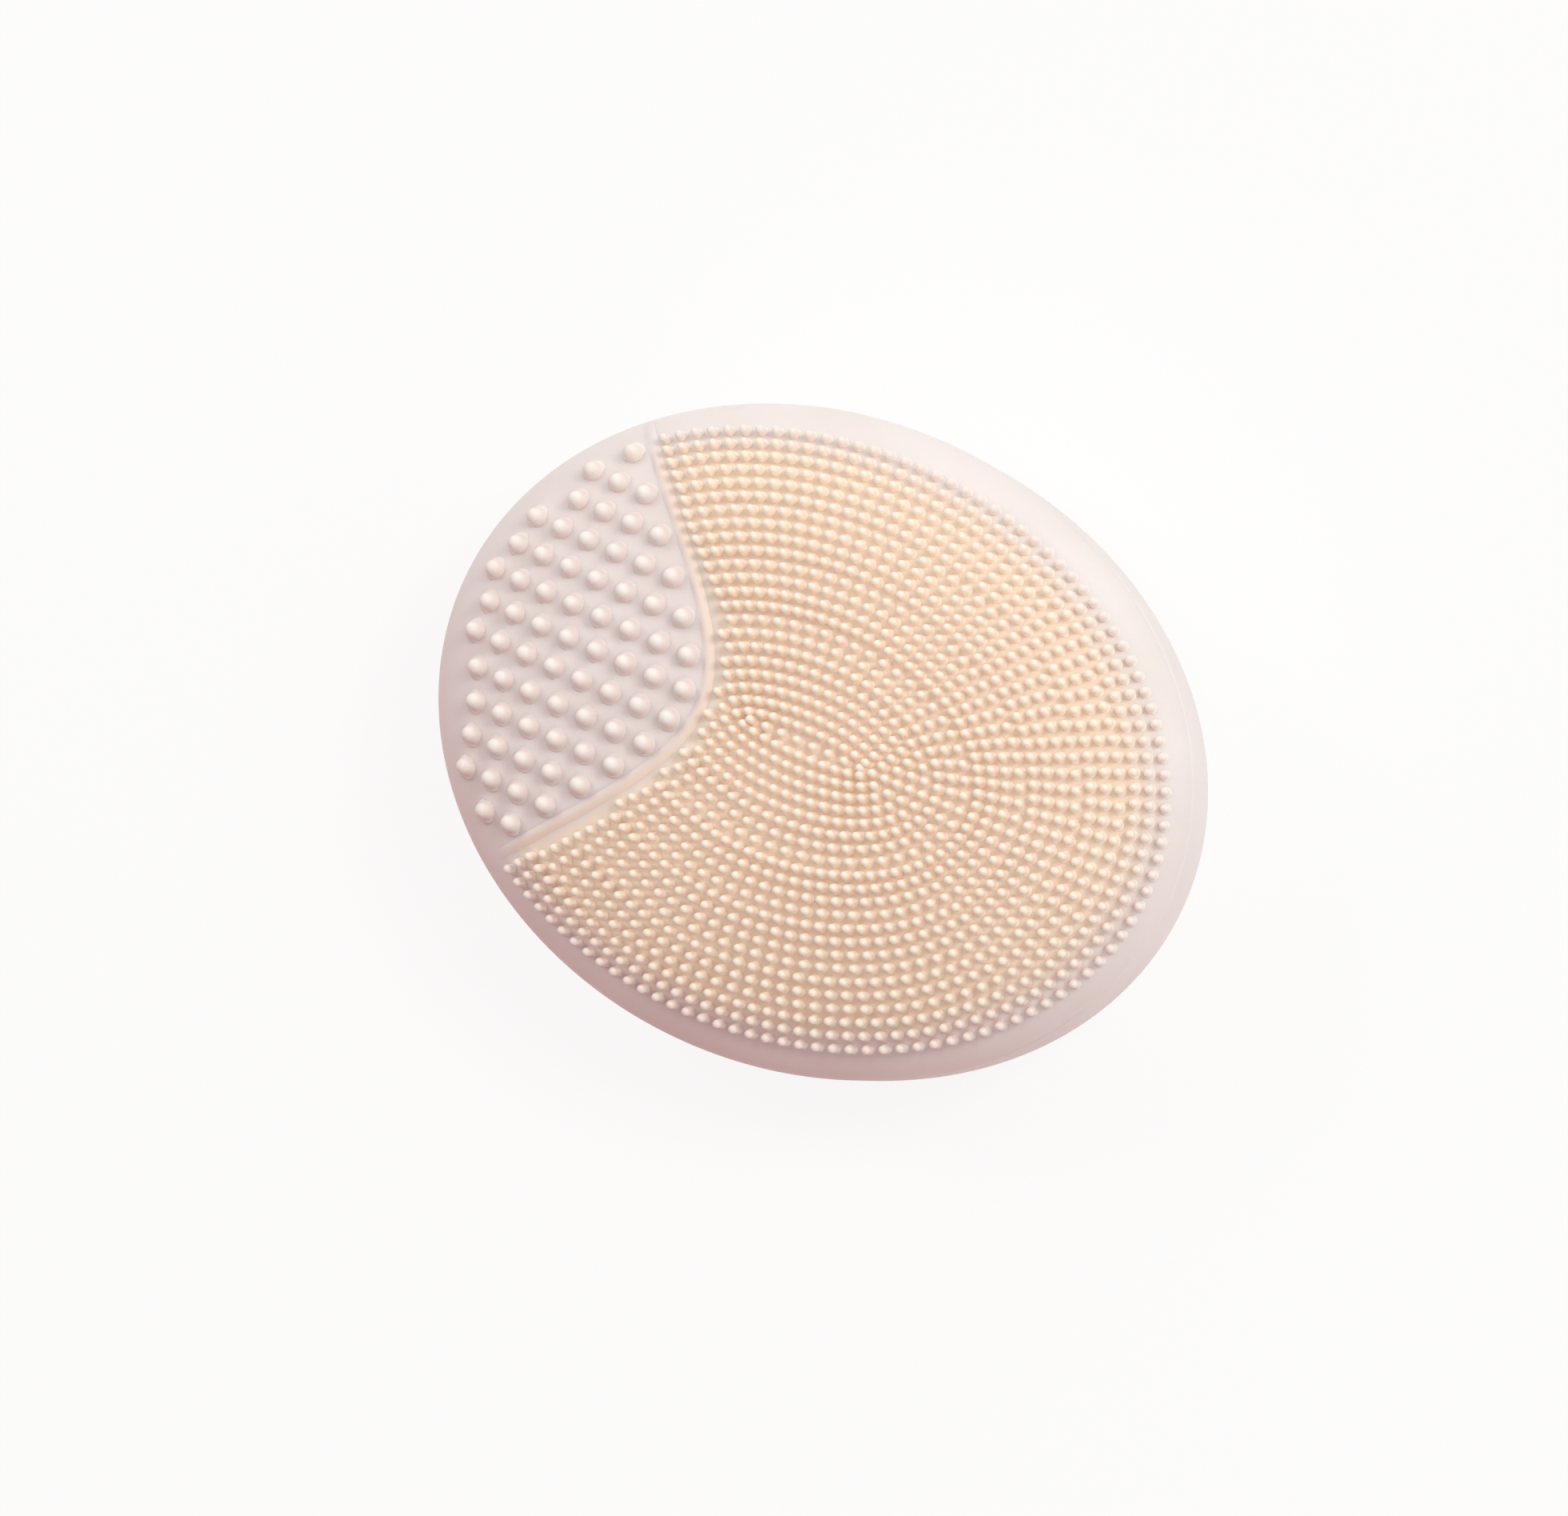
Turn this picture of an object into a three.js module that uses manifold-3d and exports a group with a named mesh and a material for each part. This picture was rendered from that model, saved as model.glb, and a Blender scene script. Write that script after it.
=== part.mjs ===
// A palm-size powered face brush: a silicone skin with moulded bristles over two plastic shells.
// Millimetres, +Z up. The brush lies on its flat back with the bristled face up.
// X runs along its length, from the tip with the thick bristles (-X) to the round end (+X).
import * as THREE from 'three';
import { mergeGeometries, mergeVertices } from 'three/addons/utils/BufferGeometryUtils.js';
import Module from 'manifold-3d';

const wasm = await Module();
wasm.setup();

// Body: an oval pebble, domed in front, with steep sides and a nearly flat back
const BODY_LENGTH = 82;
const BODY_WIDTH = 67;
const EQUATOR_Z = 15.5;
const FRONT_RISE = 11.5;
const FLAT_CUT = 0.15;
const FRONT_PLAN_POWER = 2.5;
const FRONT_RISE_POWER = 2.05;
const BACK_PLAN_POWER = 4;
const BACK_RISE_POWER = 9;
const BODY_SIDES = 40;
const RING_SIDES = 8;
const FRONT_ROWS = 3;
const BACK_ROWS = 5;
const TURN_ANGLE = Math.PI / 4;

// Walls and fits
const SKIN_WALL = 2.0;
const SHELL_WALL = 1.6;
const CLEAR = 0.3;
const SEAM_Z = 14.5;
const SEAL_HEIGHT = 1.2;

// Bristles
const RING_PITCH = 1.353;
const RING_CENTRE_X = 3.4;
const RING_DRIFT = 0.125;
const FIELD_SIDE_GAP = 3.6;
const FIELD_END_GAP = 1.64;
const MODELLED_RING_STEP = 2;
const MODELLED_SPACING = 3.5;
const FINE_RADIUS = 0.55;
const FINE_TIP_RADIUS = 0.4;
const FINE_HEIGHT = 1.8;
const FINE_SIDES = 3;
const THICK_RADIUS = 1.0;
const THICK_TIP_RADIUS = 0.75;
const THICK_HEIGHT = 2.2;
const THICK_SIDES = 4;
const THICK_PITCH_X = 3.48;
const THICK_PITCH_Y = 3.3;
const THICK_SIDE_ROWS = 6;
const THICK_EDGE_GAP = 3.4;
const TIP_DOME = 0.25;
const ROOT_DEPTH = 1.2;
const BRISTLE_LEAN = 0.2;

// Ridge between the two bristle zones: a rounded V across the face
const RIDGE_APEX_X = -8.55;
const RIDGE_SLOPE = 1.2;
const RIDGE_BEND = 11.5;
const RIDGE_LEAN = 0.095;
const RIDGE_SIDE_GAP = 10;
const RIDGE_RADIUS = 0.7;
const RIDGE_STEPS = 22;
const RIDGE_SIDES = 6;
const RIDGE_TO_THICK = 2.15;
const RIDGE_TO_FINE = 1.3;

// Buttons in the back
const BUTTON_SPACING = 13;
const POWER_RADIUS = 5.5;
const LEVEL_RADIUS = 4.2;
const BUTTON_RECESS = 0.4;
const BUTTON_TRAVEL = 0.4;
const BUTTON_CROWN = 0.25;
const BUTTON_FACE = 0.6;
const BUTTON_FACE_RISE = 0.08;
const POST_RADIUS = 2.0;
const ROUND_SIDES = 18;
const SMALL_SIDES = 10;

// Circuit board and what sits on it
const BOARD_X0 = -19;
const BOARD_X1 = 29;
const BOARD_WIDTH = 26;
const BOARD_CORNER = 4;
const CORNER_SEGMENTS = 4;
const BOARD_THICKNESS = 1.0;
const UNDER_BOARD = 3.1;
const SWITCH_SIZE = 6;
const SWITCH_HEIGHT = 1.5;
const PLUNGER_RADIUS = 1.5;
const PLUNGER_OUT = 0.8;
const PLUNGER_IN = 0.8;
const CHIP_FROM_EDGE = 5.5;
const CHIP_SIZE = 6;
const CHIP_HEIGHT = 1.0;
const BOARD_SCREW_FROM_END = 3;
const BOARD_SCREW_FROM_SIDE = 2.5;
const BOARD_BOSS_RADIUS = 2.3;

// Battery
const BATTERY_LENGTH = 21;
const BATTERY_WIDTH = 24;
const BATTERY_HEIGHT = 6;
const BATTERY_CORNER = 1.5;
const PAD_HEIGHT = 1.0;
const PAD_INSET = 2;

// Motor, lying along X under the face
const MOTOR_RADIUS = 4.0;
const MOTOR_X0 = -11.5;
const MOTOR_LENGTH = 17;
const MOTOR_CAP_LENGTH = 1.2;
const BOOT_WALL = 1.0;
const BOOT_LENGTH = 13;
const SHAFT_RADIUS = 0.75;
const SHAFT_OUT = 6.5;
const SHAFT_IN = 5;
const WEIGHT_RADIUS = 3.8;
const WEIGHT_HUB_RADIUS = 2.0;
const WEIGHT_LENGTH = 4;
const WEIGHT_STANDOFF = 1.6;
const BRACKET_WALL = 1.2;
const BRACKET_LENGTH = 10;
const EAR_REACH = 6;
const EAR_THICKNESS = 1.5;
const BRACKET_BOSS_RADIUS = 2.4;

// Screws
const SCREW_RADIUS = 1.0;
const SCREW_HEAD_RADIUS = 1.9;
const SCREW_HEAD_HEIGHT = 1.3;
const SCREW_GRIP = 3.5;
const SHELL_SCREW_X = 24;
const SHELL_SCREW_Y = 17;
const SHELL_SCREW_SEAT = 3;
const SHELL_BOSS_RADIUS = 3.4;
const SHELL_BOSS_DROP = 1.5;
const BLIND_DEPTH = 0.6;

// Charging pins, their holder and the status light
const PIN_X = 22;
const PIN_Y = 4;
const PIN_RADIUS = 1.5;
const PIN_RECESS = 0.5;
const HOLDER_LENGTH = 6;
const HOLDER_WALL = 1.6;
const GUIDE_Y = -9.5;
const GUIDE_RADIUS = 1.2;
const LED_SIZE = 2.0;
const LED_HEIGHT = 1.5;

// Leads
const LEAD_RADIUS = 0.5;
const LEAD_SIDES = 6;
const LEAD_STEPS = 8;
const MOTOR_LEAD_Y = 3;
const MOTOR_PAD_FROM_SIDE = 4;
const BATTERY_PAD_FROM_SIDE = 2.2;
const LEAD_FROM_CELL_SIDE = 1.2;
const PAD_GAP = 3.7;

// Places that follow from the sizes above
const RING_COUNT = Math.floor((BODY_WIDTH / 2 - FIELD_SIDE_GAP) / RING_PITCH);
const RING_STRETCH = BODY_LENGTH / 2 - RING_CENTRE_X - FIELD_END_GAP - RING_COUNT * RING_PITCH;
const RIDGE_HALF_SPAN = BODY_WIDTH / 2 - RIDGE_SIDE_GAP;
const SHELL_INSET = SKIN_WALL + CLEAR;
const CAVITY_INSET = SHELL_INSET + SHELL_WALL;
const BOARD_Z = CAVITY_INSET + UNDER_BOARD;
const BOARD_TOP_Z = BOARD_Z + BOARD_THICKNESS;
const BOARD_SCREW_X = BOARD_X0 + BOARD_SCREW_FROM_END;
const BOARD_SCREW_Y = BOARD_WIDTH / 2 - BOARD_SCREW_FROM_SIDE;
const BOARD_REST_X = BOARD_X1 - BOARD_SCREW_FROM_END;
const CHIP_X = BOARD_X0 + CHIP_FROM_EDGE;
const SWITCH_Z = BOARD_Z - CLEAR - SWITCH_HEIGHT;
const PLUNGER_Z = SWITCH_Z - PLUNGER_OUT;
const POST_TOP_Z = PLUNGER_Z - CLEAR;
const BUTTON_TOP_Z = SKIN_WALL - BUTTON_TRAVEL + CLEAR / 2;
const GUIDE_TOP_Z = BOARD_Z - CLEAR - LED_HEIGHT - CLEAR;
const MOTOR_X1 = MOTOR_X0 + MOTOR_LENGTH;
const MOTOR_END_X = MOTOR_X1 + CLEAR + MOTOR_CAP_LENGTH;
const BOOT_RADIUS = MOTOR_RADIUS + CLEAR + BOOT_WALL;
const BOOT_X = MOTOR_X0 + MOTOR_LENGTH / 2;
const MOTOR_Z = faceHeight(BOOT_X - BOOT_LENGTH / 2, 0, CAVITY_INSET) - CLEAR - BOOT_RADIUS;
const SADDLE_RADIUS = BOOT_RADIUS + CLEAR;
const EAR_Y = SADDLE_RADIUS + BRACKET_WALL + EAR_REACH / 2;
const EAR_TOP_Z = MOTOR_Z + EAR_THICKNESS / 2;
const PAD_Z = BOARD_TOP_Z + CLEAR;
const BATTERY_Z = PAD_Z + PAD_HEIGHT + CLEAR;
const BATTERY_X0 = MOTOR_END_X + 2 * LEAD_RADIUS + 3 * CLEAR;
const PAD_X = BATTERY_X0 - PAD_GAP;
const MOTOR_PAD_Y = BOARD_WIDTH / 2 - MOTOR_PAD_FROM_SIDE;
const BATTERY_PAD_Y = BOARD_WIDTH / 2 - BATTERY_PAD_FROM_SIDE;
const BATTERY_LEAD_Y = BATTERY_WIDTH / 2 - LEAD_FROM_CELL_SIDE;
const SHELL_BOSS_SPLIT_Z = SEAM_Z - SHELL_BOSS_DROP;
const SHELL_SCREW_HEAD_Z = SHELL_BOSS_SPLIT_Z - SHELL_SCREW_SEAT - CLEAR - SCREW_HEAD_HEIGHT;
const SHELL_SCREW_TIP_Z = SHELL_BOSS_SPLIT_Z + SCREW_GRIP;
const BUTTONS = [
  { name: 'power', x: 0, radius: POWER_RADIUS },
  { name: 'plus', x: BUTTON_SPACING, radius: LEVEL_RADIUS },
  { name: 'minus', x: -BUTTON_SPACING, radius: LEVEL_RADIUS },
];
const SIDES_OF_AXIS = [1, -1];
const BRACKET_SCREWS = SIDES_OF_AXIS.map((side) => ({ x: BOOT_X, y: side * EAR_Y }));
const BOARD_SCREWS = SIDES_OF_AXIS.map((side) => ({ x: BOARD_SCREW_X, y: side * BOARD_SCREW_Y }));
const SHELL_SCREWS = [-SHELL_SCREW_X, SHELL_SCREW_X].flatMap(
  (x) => SIDES_OF_AXIS.map((side) => ({ x, y: side * SHELL_SCREW_Y })),
);
const FAR = 100;
const OVERSHOOT = 1;

// Materials
function finish(color, roughness, metalness = 0) {
  return new THREE.MeshStandardMaterial({ color, roughness, metalness });
}
const SILICONE = finish(0xecd2c6, 0.45);
const SILICONE_BACK = finish(0xe6cdc4, 0.45);
const SHELL_PLASTIC = finish(0xe9e2d8, 0.5);
const SEAL_RUBBER = finish(0x4a4547, 0.7);
const BOARD_GREEN = finish(0x2c6e49, 0.5);
const BLACK_PLASTIC = finish(0x232326, 0.45);
const CELL_WRAP = finish(0x9fb2c4, 0.35);
const FOAM_GREY = finish(0x8c8c90, 0.9);
const STEEL = finish(0xb9bcc0, 0.3, 1);
const BRASS = finish(0xc9a552, 0.3, 1);
const CLEAR_PLASTIC = finish(0xf2f2ee, 0.2);
const LEAD_RED = finish(0xb3262b, 0.5);
const LEAD_BLACK = finish(0x1d1d20, 0.5);

// Solids from closed geometries, and back
function solid(geometry) {
  const bare = geometry.index ? geometry.clone() : geometry;
  bare.deleteAttribute('normal');
  bare.deleteAttribute('uv');
  const merged = mergeVertices(bare, 1e-4);
  return new wasm.Manifold(new wasm.Mesh({
    numProp: 3,
    vertProperties: new Float32Array(merged.attributes.position.array),
    triVerts: new Uint32Array(merged.index.array),
  }));
}

function geometryOf(body) {
  const mesh = body.getMesh();
  const geometry = new THREE.BufferGeometry();
  geometry.setAttribute('position', new THREE.BufferAttribute(mesh.vertProperties, 3));
  geometry.setIndex(new THREE.BufferAttribute(mesh.triVerts, 1));
  return geometry;
}

// Simple forms, placed by their real extents
function upright(radius, z0, z1, x = 0, y = 0, sides = ROUND_SIDES) {
  const geometry = new THREE.CylinderGeometry(radius, radius, z1 - z0, sides);
  geometry.rotateX(Math.PI / 2);
  geometry.translate(x, y, (z0 + z1) / 2);
  return solid(geometry);
}

function lengthwise(radius, x0, x1, z, sides = ROUND_SIDES) {
  const geometry = new THREE.CylinderGeometry(radius, radius, x1 - x0, sides);
  geometry.rotateZ(Math.PI / 2);
  geometry.translate((x0 + x1) / 2, 0, z);
  return solid(geometry);
}

function block(x0, x1, y0, y1, z0, z1) {
  const geometry = new THREE.BoxGeometry(x1 - x0, y1 - y0, z1 - z0);
  geometry.translate((x0 + x1) / 2, (y0 + y1) / 2, (z0 + z1) / 2);
  return solid(geometry);
}

function slab(z0, z1) {
  return block(-FAR, FAR, -FAR, FAR, z0, z1);
}

function roundedPlate(x0, x1, width, corner, z0, z1) {
  const shape = new THREE.Shape();
  const half = width / 2;
  shape.moveTo(x0 + corner, -half);
  shape.lineTo(x1 - corner, -half);
  shape.absarc(x1 - corner, -half + corner, corner, -Math.PI / 2, 0);
  shape.lineTo(x1, half - corner);
  shape.absarc(x1 - corner, half - corner, corner, 0, Math.PI / 2);
  shape.lineTo(x0 + corner, half);
  shape.absarc(x0 + corner, half - corner, corner, Math.PI / 2, Math.PI);
  shape.lineTo(x0, -half + corner);
  shape.absarc(x0 + corner, -half + corner, corner, Math.PI, Math.PI * 1.5);
  const options = { depth: z1 - z0, bevelEnabled: false, curveSegments: CORNER_SEGMENTS };
  const geometry = new THREE.ExtrudeGeometry(shape, options);
  geometry.translate(0, 0, z0);
  return solid(geometry);
}

// Heights of the back and of the face, above or below the body's widest line, drawn in by an inset
function backLevel(rho, inset) {
  const drop = EQUATOR_Z + FLAT_CUT - inset;
  const z = EQUATOR_Z - drop * (1 - rho ** BACK_PLAN_POWER) ** (1 / BACK_RISE_POWER);
  return Math.max(z, inset);
}

function faceLevel(rho, inset) {
  return EQUATOR_Z + (FRONT_RISE - inset) * (1 - rho ** FRONT_PLAN_POWER) ** (1 / FRONT_RISE_POWER);
}

function reach(x, y, inset) {
  return Math.hypot(x / (BODY_LENGTH / 2 - inset), y / (BODY_WIDTH / 2 - inset));
}

function backHeight(x, y, inset) {
  return backLevel(reach(x, y, inset), inset);
}

function faceHeight(x, y, inset) {
  return faceLevel(reach(x, y, inset), inset);
}

// Rings of the body from the middle of its back, round its side, to the middle of its face
function bodyRings(inset) {
  const drop = EQUATOR_Z + FLAT_CUT - inset;
  const flat = (1 - ((EQUATOR_Z - inset) / drop) ** BACK_RISE_POWER) ** (1 / BACK_PLAN_POWER);
  const backTurn = Math.sin(TURN_ANGLE) ** (2 / BACK_PLAN_POWER);
  const faceTurn = Math.sin(TURN_ANGLE) ** (2 / FRONT_PLAN_POWER);
  const turn = (share) => TURN_ANGLE + (Math.PI / 2 - TURN_ANGLE) * share;
  const rings = [{ sides: 1, rho: 0, z: inset }];
  rings.push({ sides: BODY_SIDES - 2 * RING_SIDES, rho: flat, z: inset });
  const between = (flat + backTurn) / 2;
  rings.push({ sides: BODY_SIDES - RING_SIDES, rho: between, z: backLevel(between, inset) });
  for (let row = 0; row < BACK_ROWS; row += 1) {
    const rho = Math.sin(turn(row / BACK_ROWS)) ** (2 / BACK_PLAN_POWER);
    rings.push({ sides: BODY_SIDES, rho, z: backLevel(rho, inset) });
  }
  for (let row = FRONT_ROWS; row >= 0; row -= 1) {
    const rho = Math.sin(turn(row / FRONT_ROWS)) ** (2 / FRONT_PLAN_POWER);
    rings.push({ sides: BODY_SIDES, rho, z: faceLevel(rho, inset) });
  }
  for (let sides = BODY_SIDES - RING_SIDES; sides > 0; sides -= RING_SIDES) {
    const rho = (faceTurn * sides) / BODY_SIDES;
    rings.push({ sides, rho, z: faceLevel(rho, inset) });
  }
  rings.push({ sides: 1, rho: 0, z: faceLevel(0, inset) });
  return rings;
}

// The body's form as a closed mesh: neighbouring rings are joined by a band of triangles
function pebble(inset) {
  const positions = [];
  const faces = [];
  let below = null;
  for (const ring of bodyRings(inset)) {
    const start = positions.length / 3;
    for (let side = 0; side < ring.sides; side += 1) {
      const angle = (2 * Math.PI * side) / ring.sides;
      positions.push((BODY_LENGTH / 2 - inset) * ring.rho * Math.cos(angle));
      positions.push((BODY_WIDTH / 2 - inset) * ring.rho * Math.sin(angle));
      positions.push(ring.z);
    }
    const above = { start, sides: ring.sides };
    if (below) {
      faces.push(...band(below, above));
    }
    below = above;
  }
  const geometry = new THREE.BufferGeometry();
  geometry.setAttribute('position', new THREE.Float32BufferAttribute(positions, 3));
  geometry.setIndex(faces);
  return solid(geometry);
}

function band(below, above) {
  const faces = [];
  const at = (ring, step) => ring.start + (step % ring.sides);
  const stepsOf = (ring) => (ring.sides > 1 ? ring.sides : 0);
  let low = 0;
  let high = 0;
  while (low < stepsOf(below) || high < stepsOf(above)) {
    const lowNext = low < stepsOf(below) ? (low + 1) / below.sides : Infinity;
    const highNext = high < stepsOf(above) ? (high + 1) / above.sides : Infinity;
    if (lowNext <= highNext) {
      faces.push(at(below, low), at(below, low + 1), at(above, high));
      low += 1;
    } else {
      faces.push(at(below, low), at(above, high + 1), at(above, high));
      high += 1;
    }
  }
  return faces;
}

// Height and outward normal of the domed face at a point in plan
function facePoint(x, y) {
  const a = BODY_LENGTH / 2;
  const b = BODY_WIDTH / 2;
  const z = faceHeight(x, y, 0);
  const level = (z - EQUATOR_Z) / FRONT_RISE;
  const planSlope = FRONT_PLAN_POWER * reach(x, y, 0) ** (FRONT_PLAN_POWER - 2);
  const riseSlope = FRONT_RISE_POWER * level ** (FRONT_RISE_POWER - 1);
  return {
    point: new THREE.Vector3(x, y, z),
    normal: new THREE.Vector3(
      (planSlope * x) / (a * a),
      (planSlope * y) / (b * b),
      riseSlope / FRONT_RISE,
    ).normalize(),
  };
}

// The ridge's place along X at a given Y, and how much the ridge leans there
function ridgeX(y) {
  return RIDGE_APEX_X - RIDGE_SLOPE * (Math.hypot(y, RIDGE_BEND) - RIDGE_BEND) - RIDGE_LEAN * y;
}

function ridgeStretch(y) {
  const lean = (RIDGE_SLOPE * y) / Math.hypot(y, RIDGE_BEND) + RIDGE_LEAN;
  return Math.hypot(1, lean);
}

function ridge() {
  const points = [];
  for (let step = 0; step <= RIDGE_STEPS / 2; step += 1) {
    const y = RIDGE_HALF_SPAN * ((4 * step) / RIDGE_STEPS - 1);
    points.push(facePoint(ridgeX(y), y).point);
  }
  const section = new THREE.Shape(
    new THREE.EllipseCurve(0, 0, RIDGE_RADIUS, RIDGE_RADIUS).getPoints(RIDGE_SIDES).slice(0, RIDGE_SIDES),
  );
  const path = new THREE.CatmullRomCurve3(points);
  return solid(new THREE.ExtrudeGeometry(section, { steps: RIDGE_STEPS, extrudePath: path }));
}

// One bristle: a tapered stem with a low dome, rooted in the skin, nearly upright with a slight lean outward
function bristle(place, radius, tipRadius, height, sides) {
  const profile = [
    new THREE.Vector2(0, -ROOT_DEPTH),
    new THREE.Vector2(radius, -ROOT_DEPTH),
    new THREE.Vector2(tipRadius, height - TIP_DOME),
    new THREE.Vector2(0, height),
  ];
  const geometry = new THREE.LatheGeometry(profile, sides);
  const lathe = new THREE.Vector3(0, 1, 0);
  const along = new THREE.Vector3(0, 0, 1).lerp(place.normal, BRISTLE_LEAN).normalize();
  geometry.applyQuaternion(new THREE.Quaternion().setFromUnitVectors(lathe, along));
  geometry.translate(place.point.x, place.point.y, place.point.z);
  return geometry;
}

function thickBristles() {
  const stems = [];
  for (let row = -THICK_SIDE_ROWS; row <= THICK_SIDE_ROWS; row += 1) {
    const y = row * THICK_PITCH_Y;
    let x = ridgeX(y) - RIDGE_TO_THICK * ridgeStretch(y);
    while (reach(x, y, THICK_EDGE_GAP) < 1) {
      stems.push(bristle(facePoint(x, y), THICK_RADIUS, THICK_TIP_RADIUS, THICK_HEIGHT, THICK_SIDES));
      x -= THICK_PITCH_X;
    }
  }
  return stems;
}

function fineBristles() {
  const stems = [];
  for (let ring = MODELLED_RING_STEP; ring <= RING_COUNT; ring += MODELLED_RING_STEP) {
    const half = ring * RING_PITCH;
    const drift = ring * RING_DRIFT;
    const outline = new THREE.EllipseCurve(RING_CENTRE_X - drift, 0, half + drift + RING_STRETCH, half);
    const count = 2 * Math.round(outline.getLength() / MODELLED_SPACING / 2);
    for (const { x, y } of outline.getSpacedPoints(count).slice(0, count)) {
      if (x > ridgeX(y) + RIDGE_TO_FINE * ridgeStretch(y)) {
        stems.push(bristle(facePoint(x, y), FINE_RADIUS, FINE_TIP_RADIUS, FINE_HEIGHT, FINE_SIDES));
      }
    }
  }
  return stems;
}

// Skins: the bristled front wraps past the body's widest line, and the rear skin closes the back
function frontSkin() {
  const bristles = solid(mergeGeometries([...thickBristles(), ...fineBristles()]));
  return pebble(0)
    .add(ridge())
    .add(bristles)
    .subtract(pebble(SKIN_WALL))
    .intersect(slab(SEAM_Z + CLEAR / 2, FAR));
}

function rearSkin() {
  let skin = pebble(0).subtract(pebble(SKIN_WALL)).intersect(slab(-FAR, SEAM_Z - CLEAR / 2));
  for (const button of BUTTONS) {
    skin = skin.subtract(upright(button.radius + CLEAR, -OVERSHOOT, SHELL_INSET, button.x));
  }
  for (const side of SIDES_OF_AXIS) {
    skin = skin.subtract(upright(PIN_RADIUS + CLEAR, -OVERSHOOT, BOARD_Z, PIN_X, side * PIN_Y, SMALL_SIDES));
  }
  return skin.subtract(upright(GUIDE_RADIUS + CLEAR, -OVERSHOOT, SHELL_INSET, 0, GUIDE_Y, SMALL_SIDES));
}

// Shells: two plastic halves with the bosses that carry the motor, the board and the screws
function frontShell() {
  const wall = pebble(SHELL_INSET).subtract(pebble(CAVITY_INSET));
  const rim = SEAM_Z + SEAL_HEIGHT / 2 + CLEAR;
  let shell = wall.intersect(slab(rim, FAR));
  for (const { x, y } of BRACKET_SCREWS) {
    const z = EAR_TOP_Z + CLEAR;
    shell = shell.add(boss(BRACKET_BOSS_RADIUS, z, FAR, x, y)).subtract(screwHole(x, y, z + SCREW_GRIP));
  }
  const sealRoom = slab(-FAR, rim).subtract(pebble(CAVITY_INSET + CLEAR));
  for (const { x, y } of SHELL_SCREWS) {
    const post = boss(SHELL_BOSS_RADIUS, SHELL_BOSS_SPLIT_Z + CLEAR, FAR, x, y).subtract(sealRoom);
    shell = shell.add(post).subtract(screwHole(x, y, SHELL_SCREW_TIP_Z + BLIND_DEPTH));
  }
  return shell;
}

function rearShell() {
  const wall = pebble(SHELL_INSET).subtract(pebble(CAVITY_INSET));
  const rim = SEAM_Z - SEAL_HEIGHT / 2 - CLEAR;
  let shell = wall.intersect(slab(-FAR, rim));
  for (const { x, y } of SHELL_SCREWS) {
    const seatZ = SHELL_SCREW_HEAD_Z + SCREW_HEAD_HEIGHT + CLEAR;
    shell = shell.add(boss(SHELL_BOSS_RADIUS, 0, SHELL_BOSS_SPLIT_Z, x, y)).subtract(screwHole(x, y, FAR));
    shell = shell.subtract(upright(SCREW_HEAD_RADIUS + CLEAR, 0, seatZ, x, y, SMALL_SIDES));
  }
  for (const { x, y } of BOARD_SCREWS) {
    const bore = upright(SCREW_RADIUS + CLEAR, CAVITY_INSET, FAR, x, y, SMALL_SIDES);
    shell = shell.add(boss(BOARD_BOSS_RADIUS, 0, BOARD_Z - CLEAR, x, y)).subtract(bore);
    shell = shell.add(boss(BOARD_BOSS_RADIUS, 0, BOARD_Z - CLEAR, BOARD_REST_X, y));
  }
  for (const side of SIDES_OF_AXIS) {
    shell = shell.subtract(upright(PIN_RADIUS + CLEAR, 0, BOARD_Z, PIN_X, side * PIN_Y, SMALL_SIDES));
  }
  for (const control of BUTTONS) {
    shell = shell.subtract(upright(POST_RADIUS + CLEAR, 0, BOARD_Z, control.x, 0, SMALL_SIDES));
  }
  return shell.subtract(upright(GUIDE_RADIUS + CLEAR, 0, BOARD_Z, 0, GUIDE_Y, SMALL_SIDES));
}

// A boss on a shell's inside, trimmed to the middle of the shell's wall, and the hole of a screw in it
function boss(radius, z0, z1, x, y) {
  return upright(radius, z0, z1, x, y, SMALL_SIDES).intersect(pebble(SHELL_INSET + SHELL_WALL / 2));
}

function screwHole(x, y, z1) {
  return upright(SCREW_RADIUS + CLEAR, 0, z1, x, y, SMALL_SIDES);
}

function shellSeal() {
  const wall = pebble(SHELL_INSET).subtract(pebble(CAVITY_INSET));
  return wall.intersect(slab(SEAM_Z - SEAL_HEIGHT / 2, SEAM_Z + SEAL_HEIGHT / 2));
}

// A button: a crowned silicone cap with the post that reaches its switch
function button({ x, radius }) {
  const profile = [
    new THREE.Vector2(0, BUTTON_RECESS),
    new THREE.Vector2(radius * BUTTON_FACE, BUTTON_RECESS + BUTTON_FACE_RISE),
    new THREE.Vector2(radius, BUTTON_RECESS + BUTTON_CROWN),
    new THREE.Vector2(radius, BUTTON_TOP_Z),
    new THREE.Vector2(POST_RADIUS, BUTTON_TOP_Z),
    new THREE.Vector2(POST_RADIUS, POST_TOP_Z),
    new THREE.Vector2(0, POST_TOP_Z),
  ];
  const geometry = new THREE.LatheGeometry(profile, ROUND_SIDES);
  geometry.rotateX(Math.PI / 2);
  geometry.translate(x, 0, 0);
  return solid(geometry);
}

function switchBody(x) {
  const half = SWITCH_SIZE / 2;
  const body = block(x - half, x + half, -half, half, SWITCH_Z, SWITCH_Z + SWITCH_HEIGHT);
  return body.subtract(upright(PLUNGER_RADIUS + CLEAR, 0, FAR, x, 0, SMALL_SIDES));
}

function plunger(x) {
  return upright(PLUNGER_RADIUS, PLUNGER_Z, SWITCH_Z + PLUNGER_IN, x, 0, SMALL_SIDES);
}

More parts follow.
